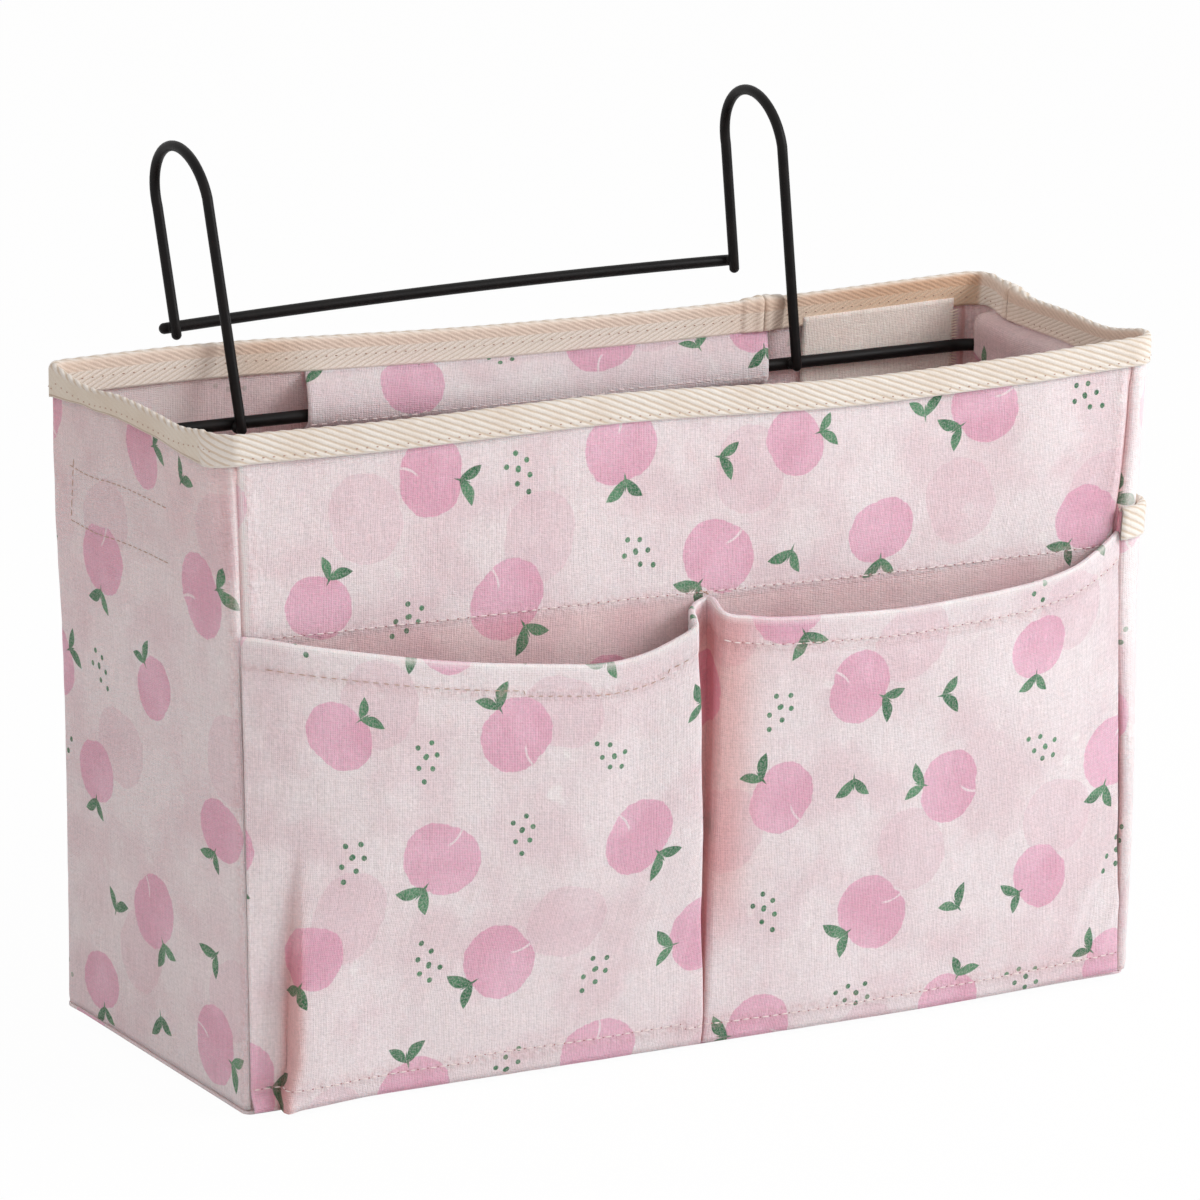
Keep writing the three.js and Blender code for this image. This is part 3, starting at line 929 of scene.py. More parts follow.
def wall_panel(
    name, stretches, heights, cut_at, materials, seed, node, bright=(0, 0), topstitch=None,
    tint=None,
):
    """A panel sewn in at its sides: bright says how strong the painted highlight along each side seam
    is, topstitch at which heights a line of sewing starts and ends, and tint where else light or shade
    is painted"""
    points = trace(stretches, heights).transpose(1, 0, 2)
    across = run_length(points, 1)
    from_seam = np.minimum(across, across[:, -1:] - across)
    up = heights[:, None] + 0 * from_seam
    out = seam_roll(from_seam) * (1 - 0.8 * rise(TAPE_FOOT - 6, TAPE_FOOT, up))
    out = out - CLOTH / 2 - 0.4 * (1 - rise(0, 2.5, up - PANEL_FOOT))
    out = out + 0.45 * crumple(points, 38, seed) * rise(0, 15, from_seam) * rise(0, 20, up)
    out = out + 0.12 * crumple(points, 9, seed + 1) * rise(0, 6, from_seam)
    seam = 0 * up
    if topstitch:
        sewn_at = lerp(*topstitch, across / across[:, -1:])
        seam = hump(up, sewn_at, 1.6)
    points = push(points, out - 0.3 * seam)
    # Painted highlight along each side seam
    painted_light = bright[0] * hump(across, SEAM_ROLL * 0.9, 0.7)
    painted_light = painted_light + bright[1] * hump(across[:, -1:] - across, SEAM_ROLL * 0.9, 0.7)
    # Painted shade along the topstitch and the seams, deepest right at the seams' edges
    seam = np.maximum(seam, 0.7 * hump(from_seam, 3.4, 1.6))
    painted_shade = 0.9 * hump(from_seam, 0, 0.8)
    if tint:
        more_painted_light, more_painted_shade = tint(points, across)
        painted_light, painted_shade = painted_light + more_painted_light, np.maximum(painted_shade, more_painted_shade)
    # Painted shade on the cloth below the topstitch, inside the pouches
    if topstitch:
        painted_shade = np.maximum(painted_shade, 0.4 * rise(0.5, -3, up - sewn_at))
    painted_light = np.clip(painted_light, 0, 1)
    cloth_piece(
        name, points, cut_at, materials, node, painted_light, seam, painted_shade,
    )
    return points


def lit_front_strip(points, across):
    """Painted light on the cloth just behind the right front seam, where the lamp on the right falls
    """
    return 0.5 * rise(1.4, 3.2, across) * rise(14, 9, across), 0


def lit_back_corner(points, across):
    """Painted light on the back panel's left end, left of the hook's shadow"""
    return 0.6 * rise(-114, -128, points[..., 0]), 0


def shaded_left_rim(points, across):
    """Warm painted shade on the left panel under its rim"""
    return 0, 0.25 * rise(130, 200, points[..., 2])


def bag_panels(materials):
    heights = even(PANEL_FOOT, PANEL_TOP, ROW_PITCH, 1)
    columns = even(0, 1, COLUMN_PITCH, 310)
    front = wall_panel(
        "front_canvas", [(wall(FRONT), columns)], heights, (40, 900), materials, 1,
        "front_panel", (0.9, 0), TOPSTITCH,
    )
    wall_panel(
        "back_canvas", [(wall(BACK), columns)], heights, (400, 900), materials, 3,
        "back_panel", tint=lit_back_corner,
    )
    left = wall_panel(
        "left_side_canvas", side_run(LEFT), heights, (760, 900), materials, 5,
        "left_side_panel", (0, 0.6), tint=shaded_left_rim,
    )
    wall_panel(
        "right_side_canvas", side_run(RIGHT), heights, (45, 1216), materials, 7,
        "right_side_panel", tint=lit_front_strip,
    )
    return front, left


# The board's play inside the walls, and the height at which they give its outline
BOARD_PLAY = 1.6
BOARD_OUTLINE = 4.0


def board(material):
    """A stiff board with softened edges, just inside the walls"""
    course = all_round(np.linspace(0, 1, 9), np.linspace(0, 1, 40))
    inset = -CLOTH - SEWN_GAP - BOARD_PLAY
    low, high = CLOTH + SEWN_GAP, CLOTH + SEWN_GAP + BOARD
    rings = []
    for out, z in (
        (inset - 0.5, low), (inset - 0.15, low + 0.15), (inset, low + 0.5), (inset, high - 0.5),
        (inset - 0.15, high - 0.15), (inset - 0.5, high),
    ):
        ring = trace(course, np.array([BOARD_OUTLINE]), out)[:, 0]
        ring[:, 2] = z
        rings.append(ring)
    solid_piece("base_board", [np.array(rings)], "bag", "bottom_board", material)


def bottom_canvas(materials):
    """The floor's cloth, in rings from the bag's outline to a small face in the middle"""
    course = all_round(np.linspace(0, 1, 7), even(0, 1, 4, 250))
    outline = trace(course, np.array([0.0]))[:, 0]
    middle = outline.mean(axis=0) * (1, 1, 0.5)
    rings = np.linspace(1, 0.04, 26)
    points = middle + (outline[None] - middle) * rings[:, None, None]
    points = np.concatenate([points, points[:, :1]], axis=1)
    points[..., 2] += CLOTH / 2
    mesh = mesh_from("bottom_canvas", points, grid_faces(*points.shape[:2])[:, ::-1])
    paint_uv(mesh, points[..., :2], (400, 1400))
    tidy = bmesh.new()
    tidy.from_mesh(mesh)
    bmesh.ops.remove_doubles(tidy, verts=tidy.verts, dist=0.02 * MM)
    open_sides = [side for side in tidy.edges if side.is_boundary]
    inner = [side for side in open_sides if side.verts[0].co.xy.length < 0.05]
    bmesh.ops.contextual_create(tidy, geom=inner)
    turn_out(tidy, mesh)
    finish_cloth(
        "bottom_canvas", mesh, outline[:, :2], materials, "bottom_panel",
    )


def turn_out(tidy, mesh):
    """Turns a worked mesh's faces outward and puts it back"""
    bmesh.ops.recalc_face_normals(tidy, faces=tidy.faces)
    tidy.to_mesh(mesh)
    tidy.free()


# Edge tape, folded over a cloth edge


def tape_profile(top):
    """Distances out and heights over a folded tape's face, the run along them, and the same
    pairs for its backing"""
    outer = SEWN_GAP + TAPE
    inner = -CLOTH - SEWN_GAP - TAPE
    low = top - TAPE_WIDTH
    middle = (outer + inner) / 2
    radius = (outer - inner) / 2
    turn = np.linspace(0, np.pi, 11)
    leg = np.linspace(low, top - radius, 15)
    shown = [(outer, z) for z in leg[:-1]]
    shown += [(middle + radius * math.cos(a), top - radius + radius * math.sin(a)) for a in turn]
    shown += [(inner, z) for z in leg[::-1][1:]]
    shown = np.array(shown)
    backing = np.array([
        (inner + TAPE, low), (inner + TAPE, top - radius), (middle, top - TAPE),
        (SEWN_GAP, top - radius), (SEWN_GAP, low),
    ])
    return shown, run_length(shown, 0), backing


def scallops(u, run, total):
    """How far the ridges stand out where they cross the fold, from -0.5 to 0.5"""
    return 0.5 * np.cos(2 * np.pi * u / RIDGE_RUN) * hump(run, total / 2, 2.4)


# Widths of the rim tape's outer leg on the left wall, by y, and on the other walls, and of its
# inner leg on the back wall
LEFT_LEG = (
    (-54, 9.4), (-45, 10.2), (-36, 9.0), (-28, 7.9), (-18, 7.0), (-3, 7.0), (8, 6.8), (22, 6.6),
    (32, 6.0), (44, 8.1), (58, 11.2),
)
OUTER_LEG = 8.8
BACK_INNER_LEG = 10.6

# How far the cloth that is turned under at a tape's ends lifts it, on the rim and elsewhere
RIM_END_LIFT = 0.7
POCKET_END_LIFT = 0.05


def leg_widths(centre):
    """Widths of the outer and inner legs of the rim's tape at each of its points"""
    x, y = centre[:, 0], centre[:, 1]
    left = rise(-154, -163, x)
    outer = lerp(OUTER_LEG, through(LEFT_LEG, np.clip(y, -54, 58)), left)
    inner = lerp(TAPE_WIDTH, BACK_INNER_LEG, rise(40, 50, y))
    return outer, inner


def tape_shading(centre):
    """How much painted shade the rim's tape gets inside, and how much painted shade and ridge
    flattening its outside gets on the left wall, at each point
    """
    x, y = centre[:, 0], centre[:, 1]
    # Painted shade inside the rim: just right of the left hook, along the back's right part and at the
    # right wall's back end
    brown = 0.5 * hump(x, -96, 13) * rise(40, 50, y) + rise(40, 130, x) * rise(47, 50, y)
    brown = brown + 0.3 * rise(150, 156, x) * rise(36, 31, y)
    return np.clip(brown, 0, 1), rise(-160, -165, x) * rise(-46, -41, y)


def tape_section(centre, along, top):
    """Distances out and heights round the tape at each point along it"""
    shown, run, backing = tape_profile(top)
    on_rim = top == BAG_HEIGHT
    lump = np.zeros(len(along))
    for from_end in (along, along[-1] - along):
        lump = lump + (1 - rise(6.5, 8, from_end)) + 0.9 * hump(from_end, 1.4, 1.3)
    lift = RIDGE * scallops(along[:, None], run[None, :], run[-1])
    lift = lift + lump[:, None] * (RIM_END_LIFT if on_rim else POCKET_END_LIFT)
    normal = beside(unit(np.gradient(shown, axis=0)))
    face = shown[None] + normal[None] * lift[..., None]
    back = np.repeat(backing[None], len(along), axis=0)
    out, z = np.moveaxis(np.concatenate([face, back], axis=1), -1, 0)
    if on_rim:
        outer, inner = leg_widths(centre)
        width = lerp(inner[:, None], outer[:, None], rise(-1.0, 0.3, out))
        z = top + (z - top) * width / TAPE_WIDTH
    return out, z


def folded_tape(name, stretches, top, node, material):
    """Tape folded over a cloth edge at a height, ribbed on its face and closed at its ends"""
    _, run, backing = tape_profile(top)
    centre = trace(stretches, np.array([top - TAPE_WIDTH / 2]))[:, 0]
    along = run_length(centre, 0)
    inside = np.concatenate([rise(0.52, 0.6, run / run[-1]), np.zeros(len(backing))])
    out, z = tape_section(centre, along, top)
    points = []
    start = 0
    for place, shares in stretches:
        stop = start + len(shares)
        points.append(place(shares[:, None], z[start:stop], out[start:stop]))
        start = stop
    points = np.concatenate(points)
    sections, sides = points.shape[:2]
    faces = grid_faces(sides, sections, loop_rows=True)
    mesh = mesh_from(name, points.transpose(1, 0, 2), faces)
    paint_uv(mesh, stack(along[None, :], np.append(run, np.full(len(backing), run[-1]))[:, None]))
    paint_points(mesh, "inside", np.repeat(inside[:, None], sections, axis=1))
    if top == BAG_HEIGHT:
        for layer, values in zip(("painted_tape_shade", "even"), tape_shading(centre)):
            paint_points(mesh, layer, np.repeat(values[None, :], sides, axis=0))
    tidy = bmesh.new()
    tidy.from_mesh(mesh)
    for opening in openings(tidy):
        bmesh.ops.contextual_create(tidy, geom=opening)
    turn_out(tidy, mesh)
    mesh.materials.append(material)
    piece = keep(name, mesh)
    declare(piece, "bag", node)


def openings(tidy):
    """Sides of a mesh's faces that no other face joins, as one list for each open end"""
    left = [side for side in tidy.edges if side.is_boundary]
    found = []
    while left:
        ring = [left.pop(0)]
        following = ring[0]
        while following is not None:
            nearby = list(ring[-1].verts[0].link_edges) + list(ring[-1].verts[1].link_edges)
            following = next((side for side in nearby if side in left), None)
            if following is not None:
                left.remove(following)
                ring.append(following)
        found.append(ring)
    return found


# Where the rim's two lengths of tape meet, on the back wall and on the right wall, the gap
# there, the pitch of their points and the length that each wall's share counts as
BACK_JOIN_X = 80.0
SIDE_JOIN_Y = 30.0
JOIN_GAP = 0.3
TAPE_PITCH = 0.6
WALL_LENGTH = {FRONT: 305, RIGHT: 92, BACK: 315, LEFT: 98}


def rim_tapes(material):
    """The rim's long tape from the back over the left and front to the right, and its short one"""

    def on_wall(index, first, last):
        return wall(index), even(first, last, TAPE_PITCH, WALL_LENGTH[index])

    def round_edge(index):
        return edge(index), np.linspace(0, 1, 19)

    back_join = share_at(BACK, BACK_JOIN_X, BAG_HEIGHT)
    side_join = share_at(RIGHT, SIDE_JOIN_Y, BAG_HEIGHT)
    gap = JOIN_GAP / WALL_LENGTH[RIGHT]
    for name, node, course in (
        ("rim_binding", "rim_tape_long", (
            on_wall(BACK, back_join, 1), round_edge(LEFT), on_wall(LEFT, 0, 1),
            round_edge(FRONT), on_wall(FRONT, 0, 1), round_edge(RIGHT),
            on_wall(RIGHT, 0, side_join),
        )),
        ("rim_binding_corner", "rim_tape_corner", (
            on_wall(RIGHT, side_join + gap, 1), round_edge(BACK),
            on_wall(BACK, 0, back_join - gap / 3),
        )),
    ):
        later = [(place, shares[1:]) for place, shares in course[1:]]
        folded_tape(
            name, [course[0], *later], BAG_HEIGHT, node, material,
        )


# Front pouches. Their strip's x, distance out of the wall and height along the hem, from the
# left seam over the pleat to the right seam, and its x and share of that distance at the foot
POUCH_LINE = (
    (-157.6, 0.3, 142.2, -153.4, 0.5),
    (-151.5, 3.2, 141.4, -149.5, 1.0),
    (-143.0, 6.4, 139.8, -141.0, 1.0),
    (-122.0, 10.5, 135.9, -122.0, 1.0),
    (-96.0, 12.5, 131.1, -95.0, 1.0),
    (-66.0, 13.0, 126.8, -63.0, 1.0),
    (-42.0, 13.0, 124.3, -36.0, 1.0),
    (-27.0, 12.5, 125.7, -19.0, 1.0),
    (-17.0, 12.3, 129.0, -8.4, 1.0),
    (-12.0, 11.9, 131.2, -2.6, 1.0),
    (-10.3, 11.2, 132.6, -0.8, 1.0),
    (-9.8, 9.4, 134.4, -0.6, 0.9),
    (-8.8, 6.0, 135.7, -0.4, 0.7),
    (-6.2, 3.0, 136.7, -0.2, 0.5),
    (-3.2, 1.4, 137.3, 0.0, 0.4),
    (-1.2, 0.9, 137.7, 0.3, 0.3),
    (-0.6, 2.8, 137.8, 0.6, 0.4),
    (-0.9, 5.4, 137.0, 0.9, 0.7),
    (-1.0, 7.8, 135.9, 1.2, 0.9),
    (-0.2, 9.5, 134.9, 1.8, 1.0),
    (2.4, 10.3, 133.9, 3.6, 1.0),
    (7.0, 10.9, 133.2, 7.0, 1.0),
    (15.0, 11.7, 132.1, 14.0, 1.0),
    (35.0, 13.0, 131.2, 35.0, 1.0),
    (66.0, 13.0, 130.0, 66.0, 1.0),
    (88.0, 12.0, 130.6, 89.0, 1.0),
    (110.0, 10.0, 131.9, 112.0, 1.0),
    (126.0, 7.0, 134.0, 129.0, 0.9),
    (136.0, 4.4, 136.8, 140.0, 0.8),
    (142.6, 2.2, 139.4, 148.0, 0.6),
    (147.2, 0.3, 141.6, 152.8, 0.4),
)
POUCH_COLUMNS = 440
POUCH_ROWS = 72

# What a share counts as, in millimetres, when a curve is drawn through those rows; the pleat's
# middle and spread, where columns lie closer; and the hem's x at the pleat's two crests
SHARE_WEIGHT = 12
PLEAT = (-4, 9)
PLEAT_CRESTS = (-10.3, -1.0)

# Share of the pouch's height, and share of its mouth's distance out there
POUCH_SWELL = (
    (0, 0.16), (0.03, 0.24), (0.06, 0.29), (0.12, 0.37), (0.28, 0.48), (0.46, 0.6),
    (0.64, 0.74), (0.82, 0.88), (0.93, 0.96), (1, 1),
)

# The tuck at the lower left corner: its fold's x, and the height at which it ends
TUCK_X = -140.5
TUCK_TOP = 84.0

# Folds and dents: place along and height, direction, length, width, height
POUCH_CREASES = (
    ((146, 34), 62, 26, 2.2, -1.1),
    ((139, 24), 58, 24, 2.6, 0.9),
    ((150, 20), 66, 20, 2.0, 0.9),
    ((127, 40), 70, 30, 5.0, 0.7),
    ((92, 96), 84, 26, 9.0, 0.6),
    ((-112, 96), 80, 34, 9.0, 0.7),
    ((-60, 60), 96, 40, 14.0, 0.6),
    ((-30, 92), 74, 30, 7.0, -0.6),
    ((40, 60), 92, 40, 12.0, 0.5),
    ((22, 28), 60, 26, 5.0, 0.5),
)


def curve_through(points, count, focus=None):
    """Points spread on a smooth curve through the given ones, evenly or closer at a focus"""
    points = np.asarray(points, float)
    knots = totals(np.linalg.norm(np.diff(points, axis=0), axis=1) ** 0.5)
    fine = np.linspace(0, knots[-1], count * 6)
    track = np.array([through(np.stack([knots, column], axis=1), fine) for column in points.T])
    steps = np.linalg.norm(np.diff(track.T, axis=0), axis=1)
    if focus is not None:
        steps = steps * (1 + 2 * hump(track[0, 1:], *focus))
    length = totals(steps)
    target = np.linspace(0, length[-1], count)
    return np.stack([np.interp(target, length, column) for column in track], axis=-1)


def pouch_tuck(x, z, out):
    """Folds the strip's lower left corner in: its new x and distance out, and where shade is painted
    in the fold"""
    tucked = 1 - rise(0.3 * TUCK_TOP, TUCK_TOP, z)
    fold_x = TUCK_X - 3.5 * (1 - rise(0, 16, z))
    beyond = rise(fold_x - 0.8, fold_x + 0.6, x)
    flat = tucked * (1 - beyond)
    proud = 4.6 * hump(np.maximum(x - fold_x - 1, 0), 0, 18) * beyond
    over = beyond * hump(np.maximum(x - fold_x, 0), 0, 12)
    painted_shade = tucked * hump(x, fold_x - 0.6, 2.6)
    x = x - 2.0 * tucked * over
    out = out * (1 - flat) + tucked * proud
    return x, out + 2.4 * hump(z, 1.5, 2.4) * rise(-139, -146, x), painted_shade


def pouch_fabric(points):
    """Fabric coordinates of the strip, laid from each of its side seams and joined in the pleat"""
    from_left = run_length(points, 1)
    from_right = from_left[:, -1:] - from_left
    total = from_left[:, -1].mean()
    side = rise(0.485, 0.505, np.linspace(0, 1, POUCH_COLUMNS))
    up = run_length(points, 0).mean(axis=1)[:, None]
    return stack(lerp(from_left, total - from_right, side), up)


def pouch_strip(materials):
    """The two pouches in one strip; returns the lines of its hem and foot stitches"""
    weights = np.array((1, 1, 1, 1, SHARE_WEIGHT))
    line = curve_through(np.array(POUCH_LINE) * weights, POUCH_COLUMNS, PLEAT) / weights
    mouth_x, mouth_out, mouth_z, foot_x, foot_share = line.T
    share = np.linspace(0, 1, POUCH_ROWS)[:, None]
    x = lerp(foot_x, mouth_x, share)
    z = lerp(PANEL_FOOT, mouth_z, share)
    out = mouth_out * through(POUCH_SWELL, share) * lerp(foot_share, 1, rise(0, 0.7, share))
    x, out, painted_shade = pouch_tuck(x, z, out)
    for details in POUCH_CREASES:
        out = out + crease(x, z, *details) * rise(3, 14, z)
    points = wall(FRONT)(share_at(FRONT, x, z), z, CLOTH / 2 + SEWN_GAP + out)
    free = rise(0, 12, z) * rise(0, 14, mouth_x + 153) * rise(0, 14, 147 - mouth_x)
    free = free * rise(2, 14, np.abs(mouth_x))
    order = np.arange(POUCH_COLUMNS)
    left, right = (np.abs(mouth_x - place).argmin() for place in PLEAT_CRESTS)
    # Painted shade in the pleat's recess and on the right pouch just past it
    in_pleat = rise(left + 1, left + 5, order) * rise(right + 5, right - 3, order)
    painted_shade = np.maximum(painted_shade, in_pleat * rise(142, 128, z))
    past_pleat = 0.8 * hump(x, 1, 10) * rise(20, 60, z) * (order > right)
    painted_shade = np.maximum(painted_shade, past_pleat)
    move = 0.6 * crumple(points, 30, 11) * free + 0.1 * crumple(points, 8, 12)
    below_hem = z[-1] - z
    stitch_line = hump(below_hem, HEM, 1.0) + hump(z, FOOT_STITCH, 1.0)
    along = run_length(points, 1)
    move = move - 0.22 * stitch_line * (0.6 + 0.4 * np.cos(2 * np.pi * along / STITCH_PITCH))
    move = move + 0.3 * (1 - rise(HEM - 0.6, HEM + 0.4, below_hem))
    face = push(points, move)
    hem = turned_hem(face)
    points = np.concatenate([face, hem])
    fabric = pouch_fabric(points)
    # Painted highlight along the hem's fold, and painted shade along the lines of sewing
    painted_light = 0.6 * hump(fabric[..., 1], fabric[POUCH_ROWS, 0, 1], 0.5)
    seam = hump(below_hem, HEM, 1.6) + hump(z, FOOT_STITCH, 1.6)
    on_hem = np.zeros(hem.shape[:2])
    cloth_piece(
        "front_pouches", points, (40, 1500), materials, "front_pouch_strip",
        painted_light, np.concatenate([seam, on_hem]),
        np.concatenate([painted_shade, on_hem]), fabric,
    )
    return [face_line(face, below_hem, HEM), face_line(face, z, FOOT_STITCH)]


# How high the middle of a line of sewing lies over loose cloth and over a panel
FACE_LIFT = 0.06
PANEL_LIFT = 0.05


def face_line(points, heights, wanted):
    """A line over a cloth's face where the given heights pass the wanted one"""
    rows = np.abs(heights - wanted).argmin(axis=0)
    columns = np.arange(points.shape[1])
    found = cloth_normals(points)[rows, columns]
    return points[rows, columns] + found * (CLOTH / 2 + FACE_LIFT), found


def between(grid, rows, columns):
    """Values of a grid at fractional rows and columns"""
    row = np.clip(rows.astype(int), 0, grid.shape[0] - 2)
    column = np.clip(columns.astype(int), 0, grid.shape[1] - 2)
    up, across = (rows - row)[:, None], (columns - column)[:, None]
    low = lerp(grid[row, column], grid[row, column + 1], across)
    high = lerp(grid[row + 1, column], grid[row + 1, column + 1], across)
    return lerp(low, high, up)


def panel_line(points, axis, first, last):
    """A line over a panel's face from one (place, height) to another, with its normals"""
    share = np.linspace(0, 1, 80)
    places, z = lerp(first[0], last[0], share), lerp(first[1], last[1], share)
    middle = points.shape[1] // 2
    rows = np.interp(z, points[:, middle, 2], np.arange(len(points)))
    columns = []
    for row, place in zip(rows, places):
        across = points[int(row), :, axis]
        order = np.arange(len(across))
        if across[0] > across[-1]:
            across, order = across[::-1], order[::-1]
        columns.append(np.interp(place, across, order))
    columns = np.array(columns)
    normal = between(cloth_normals(points), rows, columns)
    return between(points, rows, columns) + normal * (CLOTH / 2 + PANEL_LIFT), normal


# Distance between the pouches' cloth and the hem turned down behind it
HEM_GAP = 1.15


def turned_hem(points):
    """Rows that carry a cloth's top edge over and down behind it"""
    normal = unit(np.cross(np.gradient(points[-1], axis=0), points[-1] - points[-3]))
    rows = []
    for turn in np.linspace(0, math.pi, 7)[1:]:
        back = HEM_GAP / 2 * (1 - math.cos(turn))
        rows.append(points[-1] - normal * back + np.array([0, 0, HEM_GAP / 2 * math.sin(turn)]))
    behind = rows[-1]
    rows += [behind - np.array([0, 0, fall]) for fall in np.linspace(0, HEM, 7)[1:]]
    return np.array(rows)


# Side pocket, and the share of its course that each rounded edge takes
SIDE_POCKET_HEIGHT = 150.0
SIDE_POCKET_DEPTH = 8.0
POCKET_EDGE = 0.06


def pocket_lift(share, z):
    """How far the pocket's cloth stands out of the wall"""
    room = (SEWN_GAP + TAPE) * np.clip(z / (SIDE_POCKET_HEIGHT - TAPE_WIDTH), 0, 1)
    bow = np.sin(np.pi * np.clip(share, 0, 1)) ** 1.5
    swelled = SIDE_POCKET_DEPTH * bow * np.clip(z / SIDE_POCKET_HEIGHT, 0, 1)
    return SEWN_GAP + CLOTH + room + swelled


def pocket_run(pitch=COLUMN_PITCH):
    """A right side run that stands out from the wall as the pocket does"""
    lengths = (POCKET_EDGE, 1 - 2 * POCKET_EDGE, POCKET_EDGE)
    starts = (0.0, POCKET_EDGE, 1 - POCKET_EDGE)
    run = []
    for (place, shares), start, length in zip(side_run(RIGHT, pitch), starts, lengths):

        def lifted(share, z, out=0.0, place=place, start=start, length=length):
            return place(share, z, out + pocket_lift(start + length * share, np.asarray(z, float)))

        run.append((lifted, shares))
    return run


def side_pocket(materials, tape):
    heights = even(PANEL_FOOT, SIDE_POCKET_HEIGHT - TAPE - SEWN_GAP, ROW_PITCH, 1)
    wall_panel(
        "side_pocket_canvas", pocket_run(), heights, (400, 1600), materials, 15,
        "side_pocket", tint=lit_front_strip,
    )
    folded_tape(
        "side_pocket_binding", pocket_run(TAPE_PITCH), SIDE_POCKET_HEIGHT, "side_pocket_tape", tape,
    )


# Sleeves round the rod and arms, and the patch beside them: the arms' x, the sleeves' middle
# where they are sewn to a wall, how far the back sleeve's ends slant with its bulge, the height
# of the line of sewing along it, and how far back a sleeve's top reaches under the tape
ARM_X = 157.3
SEAT = -CLOTH - SEWN_GAP - CLOTH / 2
SLEEVE_SLANT = 3.0
SLEEVE_LINE = 178.4
UNDER_TAPE = -0.04


def sleeve_piece(name, index, places, face, path, cut_at, materials, node, seed, sleeve_shade=0.0):
    """A strip of cloth inside a wall, bulged round a wire: path gives share out to face and
    height"""
    reach, z = curve_through(path, 60).T
    reach = np.maximum(reach, np.where(z > SLEEVE_TOP, UNDER_TAPE, 0))
    axis = 1 if index in (FRONT, BACK) else 0
    shift = SLEEVE_SLANT * reach if index == BACK else 0
    shares = share_at(index, places[:, None] - shift, z)
    wall_at = np.abs(wall(index)(shares, z, 0.0)[..., axis])
    out = lerp(SEAT, face - wall_at, reach)
    points = wall(index)(shares, z, out).transpose(1, 0, 2)[::-1]
    loose = rise(FOOT_HEIGHT + 20, FOOT_HEIGHT, points[..., 2])
    loose = np.clip(loose + rise(0.1, 0.6, reach[::-1])[:, None], 0, 1)
    points = push(points, 0.35 * np.maximum(crumple(points, 16, seed), -0.2) * loose)
    # The last value sets how much warm pink painted shade the sleeve gets
    cloth_piece(name, points, cut_at, materials, node, painted_shade=sleeve_shade)
    return face_line(points, points[..., 2], SLEEVE_LINE)


# Play between a wire and its sleeve, round the rod and round the arms
ROD_PLAY = 0.4
ARM_PLAY = 0.8


def sleeves(materials):
    """The three sleeves; returns the line of sewing along the back one"""
    back_path = (
        (UNDER_TAPE, SLEEVE_TOP + 3), (0, SLEEVE_TOP - 0.6), (0.45, 189), (0.9, 184.5),
        (1, 180.5), (0.85, 177.5), (0.35, STITCH_HEIGHT + 0.8), (0, STITCH_HEIGHT - 0.8),
        (0, 166), (0, FOOT_HEIGHT),
    )
    arm_path = (
        (UNDER_TAPE, SLEEVE_TOP + 3), (0, SLEEVE_TOP - 0.3), (0.7, SLEEVE_TOP - 0.9),
        (1, SLEEVE_TOP - 2.8), (1, 182), (0.95, 178), (0.5, STITCH_HEIGHT + 0.9),
        (0, STITCH_HEIGHT - 0.8), (0, 166), (0, FOOT_HEIGHT),
    )
    rod_face = ROD_Y - ROD_DIAMETER / 2 - ROD_PLAY - CLOTH / 2
    arm_face = ARM_X - ROD_DIAMETER / 2 - ARM_PLAY - CLOTH / 2
    line = sleeve_piece(
        "back_sleeve", BACK, np.linspace(*BACK_SLEEVE_X, 110), rod_face, back_path, (760, 1500),
        materials, "back_rod_sleeve", 21,
    )
    # The right sleeve, in the shade, gets warm painted shade
    for side, index, ends, up, seed, sleeve_shade in (
        ("left", LEFT, SIDE_SLEEVE_Y, 1600, 23, 0.0),
        ("right", RIGHT, SIDE_SLEEVE_Y[::-1], 1700, 25, 0.4),
    ):
        sleeve_piece(
            f"{side}_arm_sleeve_canvas", index, np.linspace(*ends, 50), arm_face, arm_path,
            (760, up), materials, f"{side}_arm_sleeve", seed, sleeve_shade,
        )
    return line


def back_patch(materials):
    places = np.linspace(*PATCH_X, 44)
    z = np.linspace(FOOT_HEIGHT, SLEEVE_TOP + 3, 26)[:, None]
    points = wall(BACK)(share_at(BACK, places, z), z, SEAT - 0.1)
    points = push(points, 0.25 * crumple(points, 14, 31))
    cloth_piece("patch", points, (1000, 1500), materials, "back_patch")


# Wire hanger, drawn about its rod's middle: y back, z up the hooks. The rod's bend radius, and
# how far its arms reach forward and rise.
ROD_BEND = 8.0
ARM_REACH = 62.0
ARM_RISE = 8.0

# Left and right hook: x, drift of the top along x, tilt back in degrees, and length below the
# rod's middle
HOOK_X = (-108.0, 89.0)
HOOK_DRIFT = (-3.5, -1.0)
HOOK_TILT = (7.5, 1.5)
HOOK_FOOT = (2.6, 1.2)

# Both hooks: distance between the legs' middles, height where the arch starts, length below the
# bar, and how far the arch leans back
HOOK_GAP = 35.5
HOOK_LEG = 69.0
HOOK_HEEL = 2.8
HOOK_SKEW = 2.8

# The bar's height over the rod, its reach past the left hook, and its bow
BAR_HEIGHT = 31.6
BAR_OVERHANG = 2.6
BAR_BOW = 1.5

# The weld gap, and what the coating adds to a hook's diameter and adds twice to the bar's
WELD_GAP = 0.3
COATING = 0.3
LEG_Y = -(ROD_DIAMETER + WIRE_DIAMETER) / 2 - WELD_GAP
HANGER_LEAN = math.asin(ARM_RISE / ARM_REACH)


def arc(centre, first, second, start, stop, count=16):
    """Part of an ellipse with the given half axes, from one angle to another"""
    turn = np.linspace(math.radians(start), math.radians(stop), count)[:, None]
    return np.array(centre) + np.array(first) * np.cos(turn) + np.array(second) * np.sin(turn)


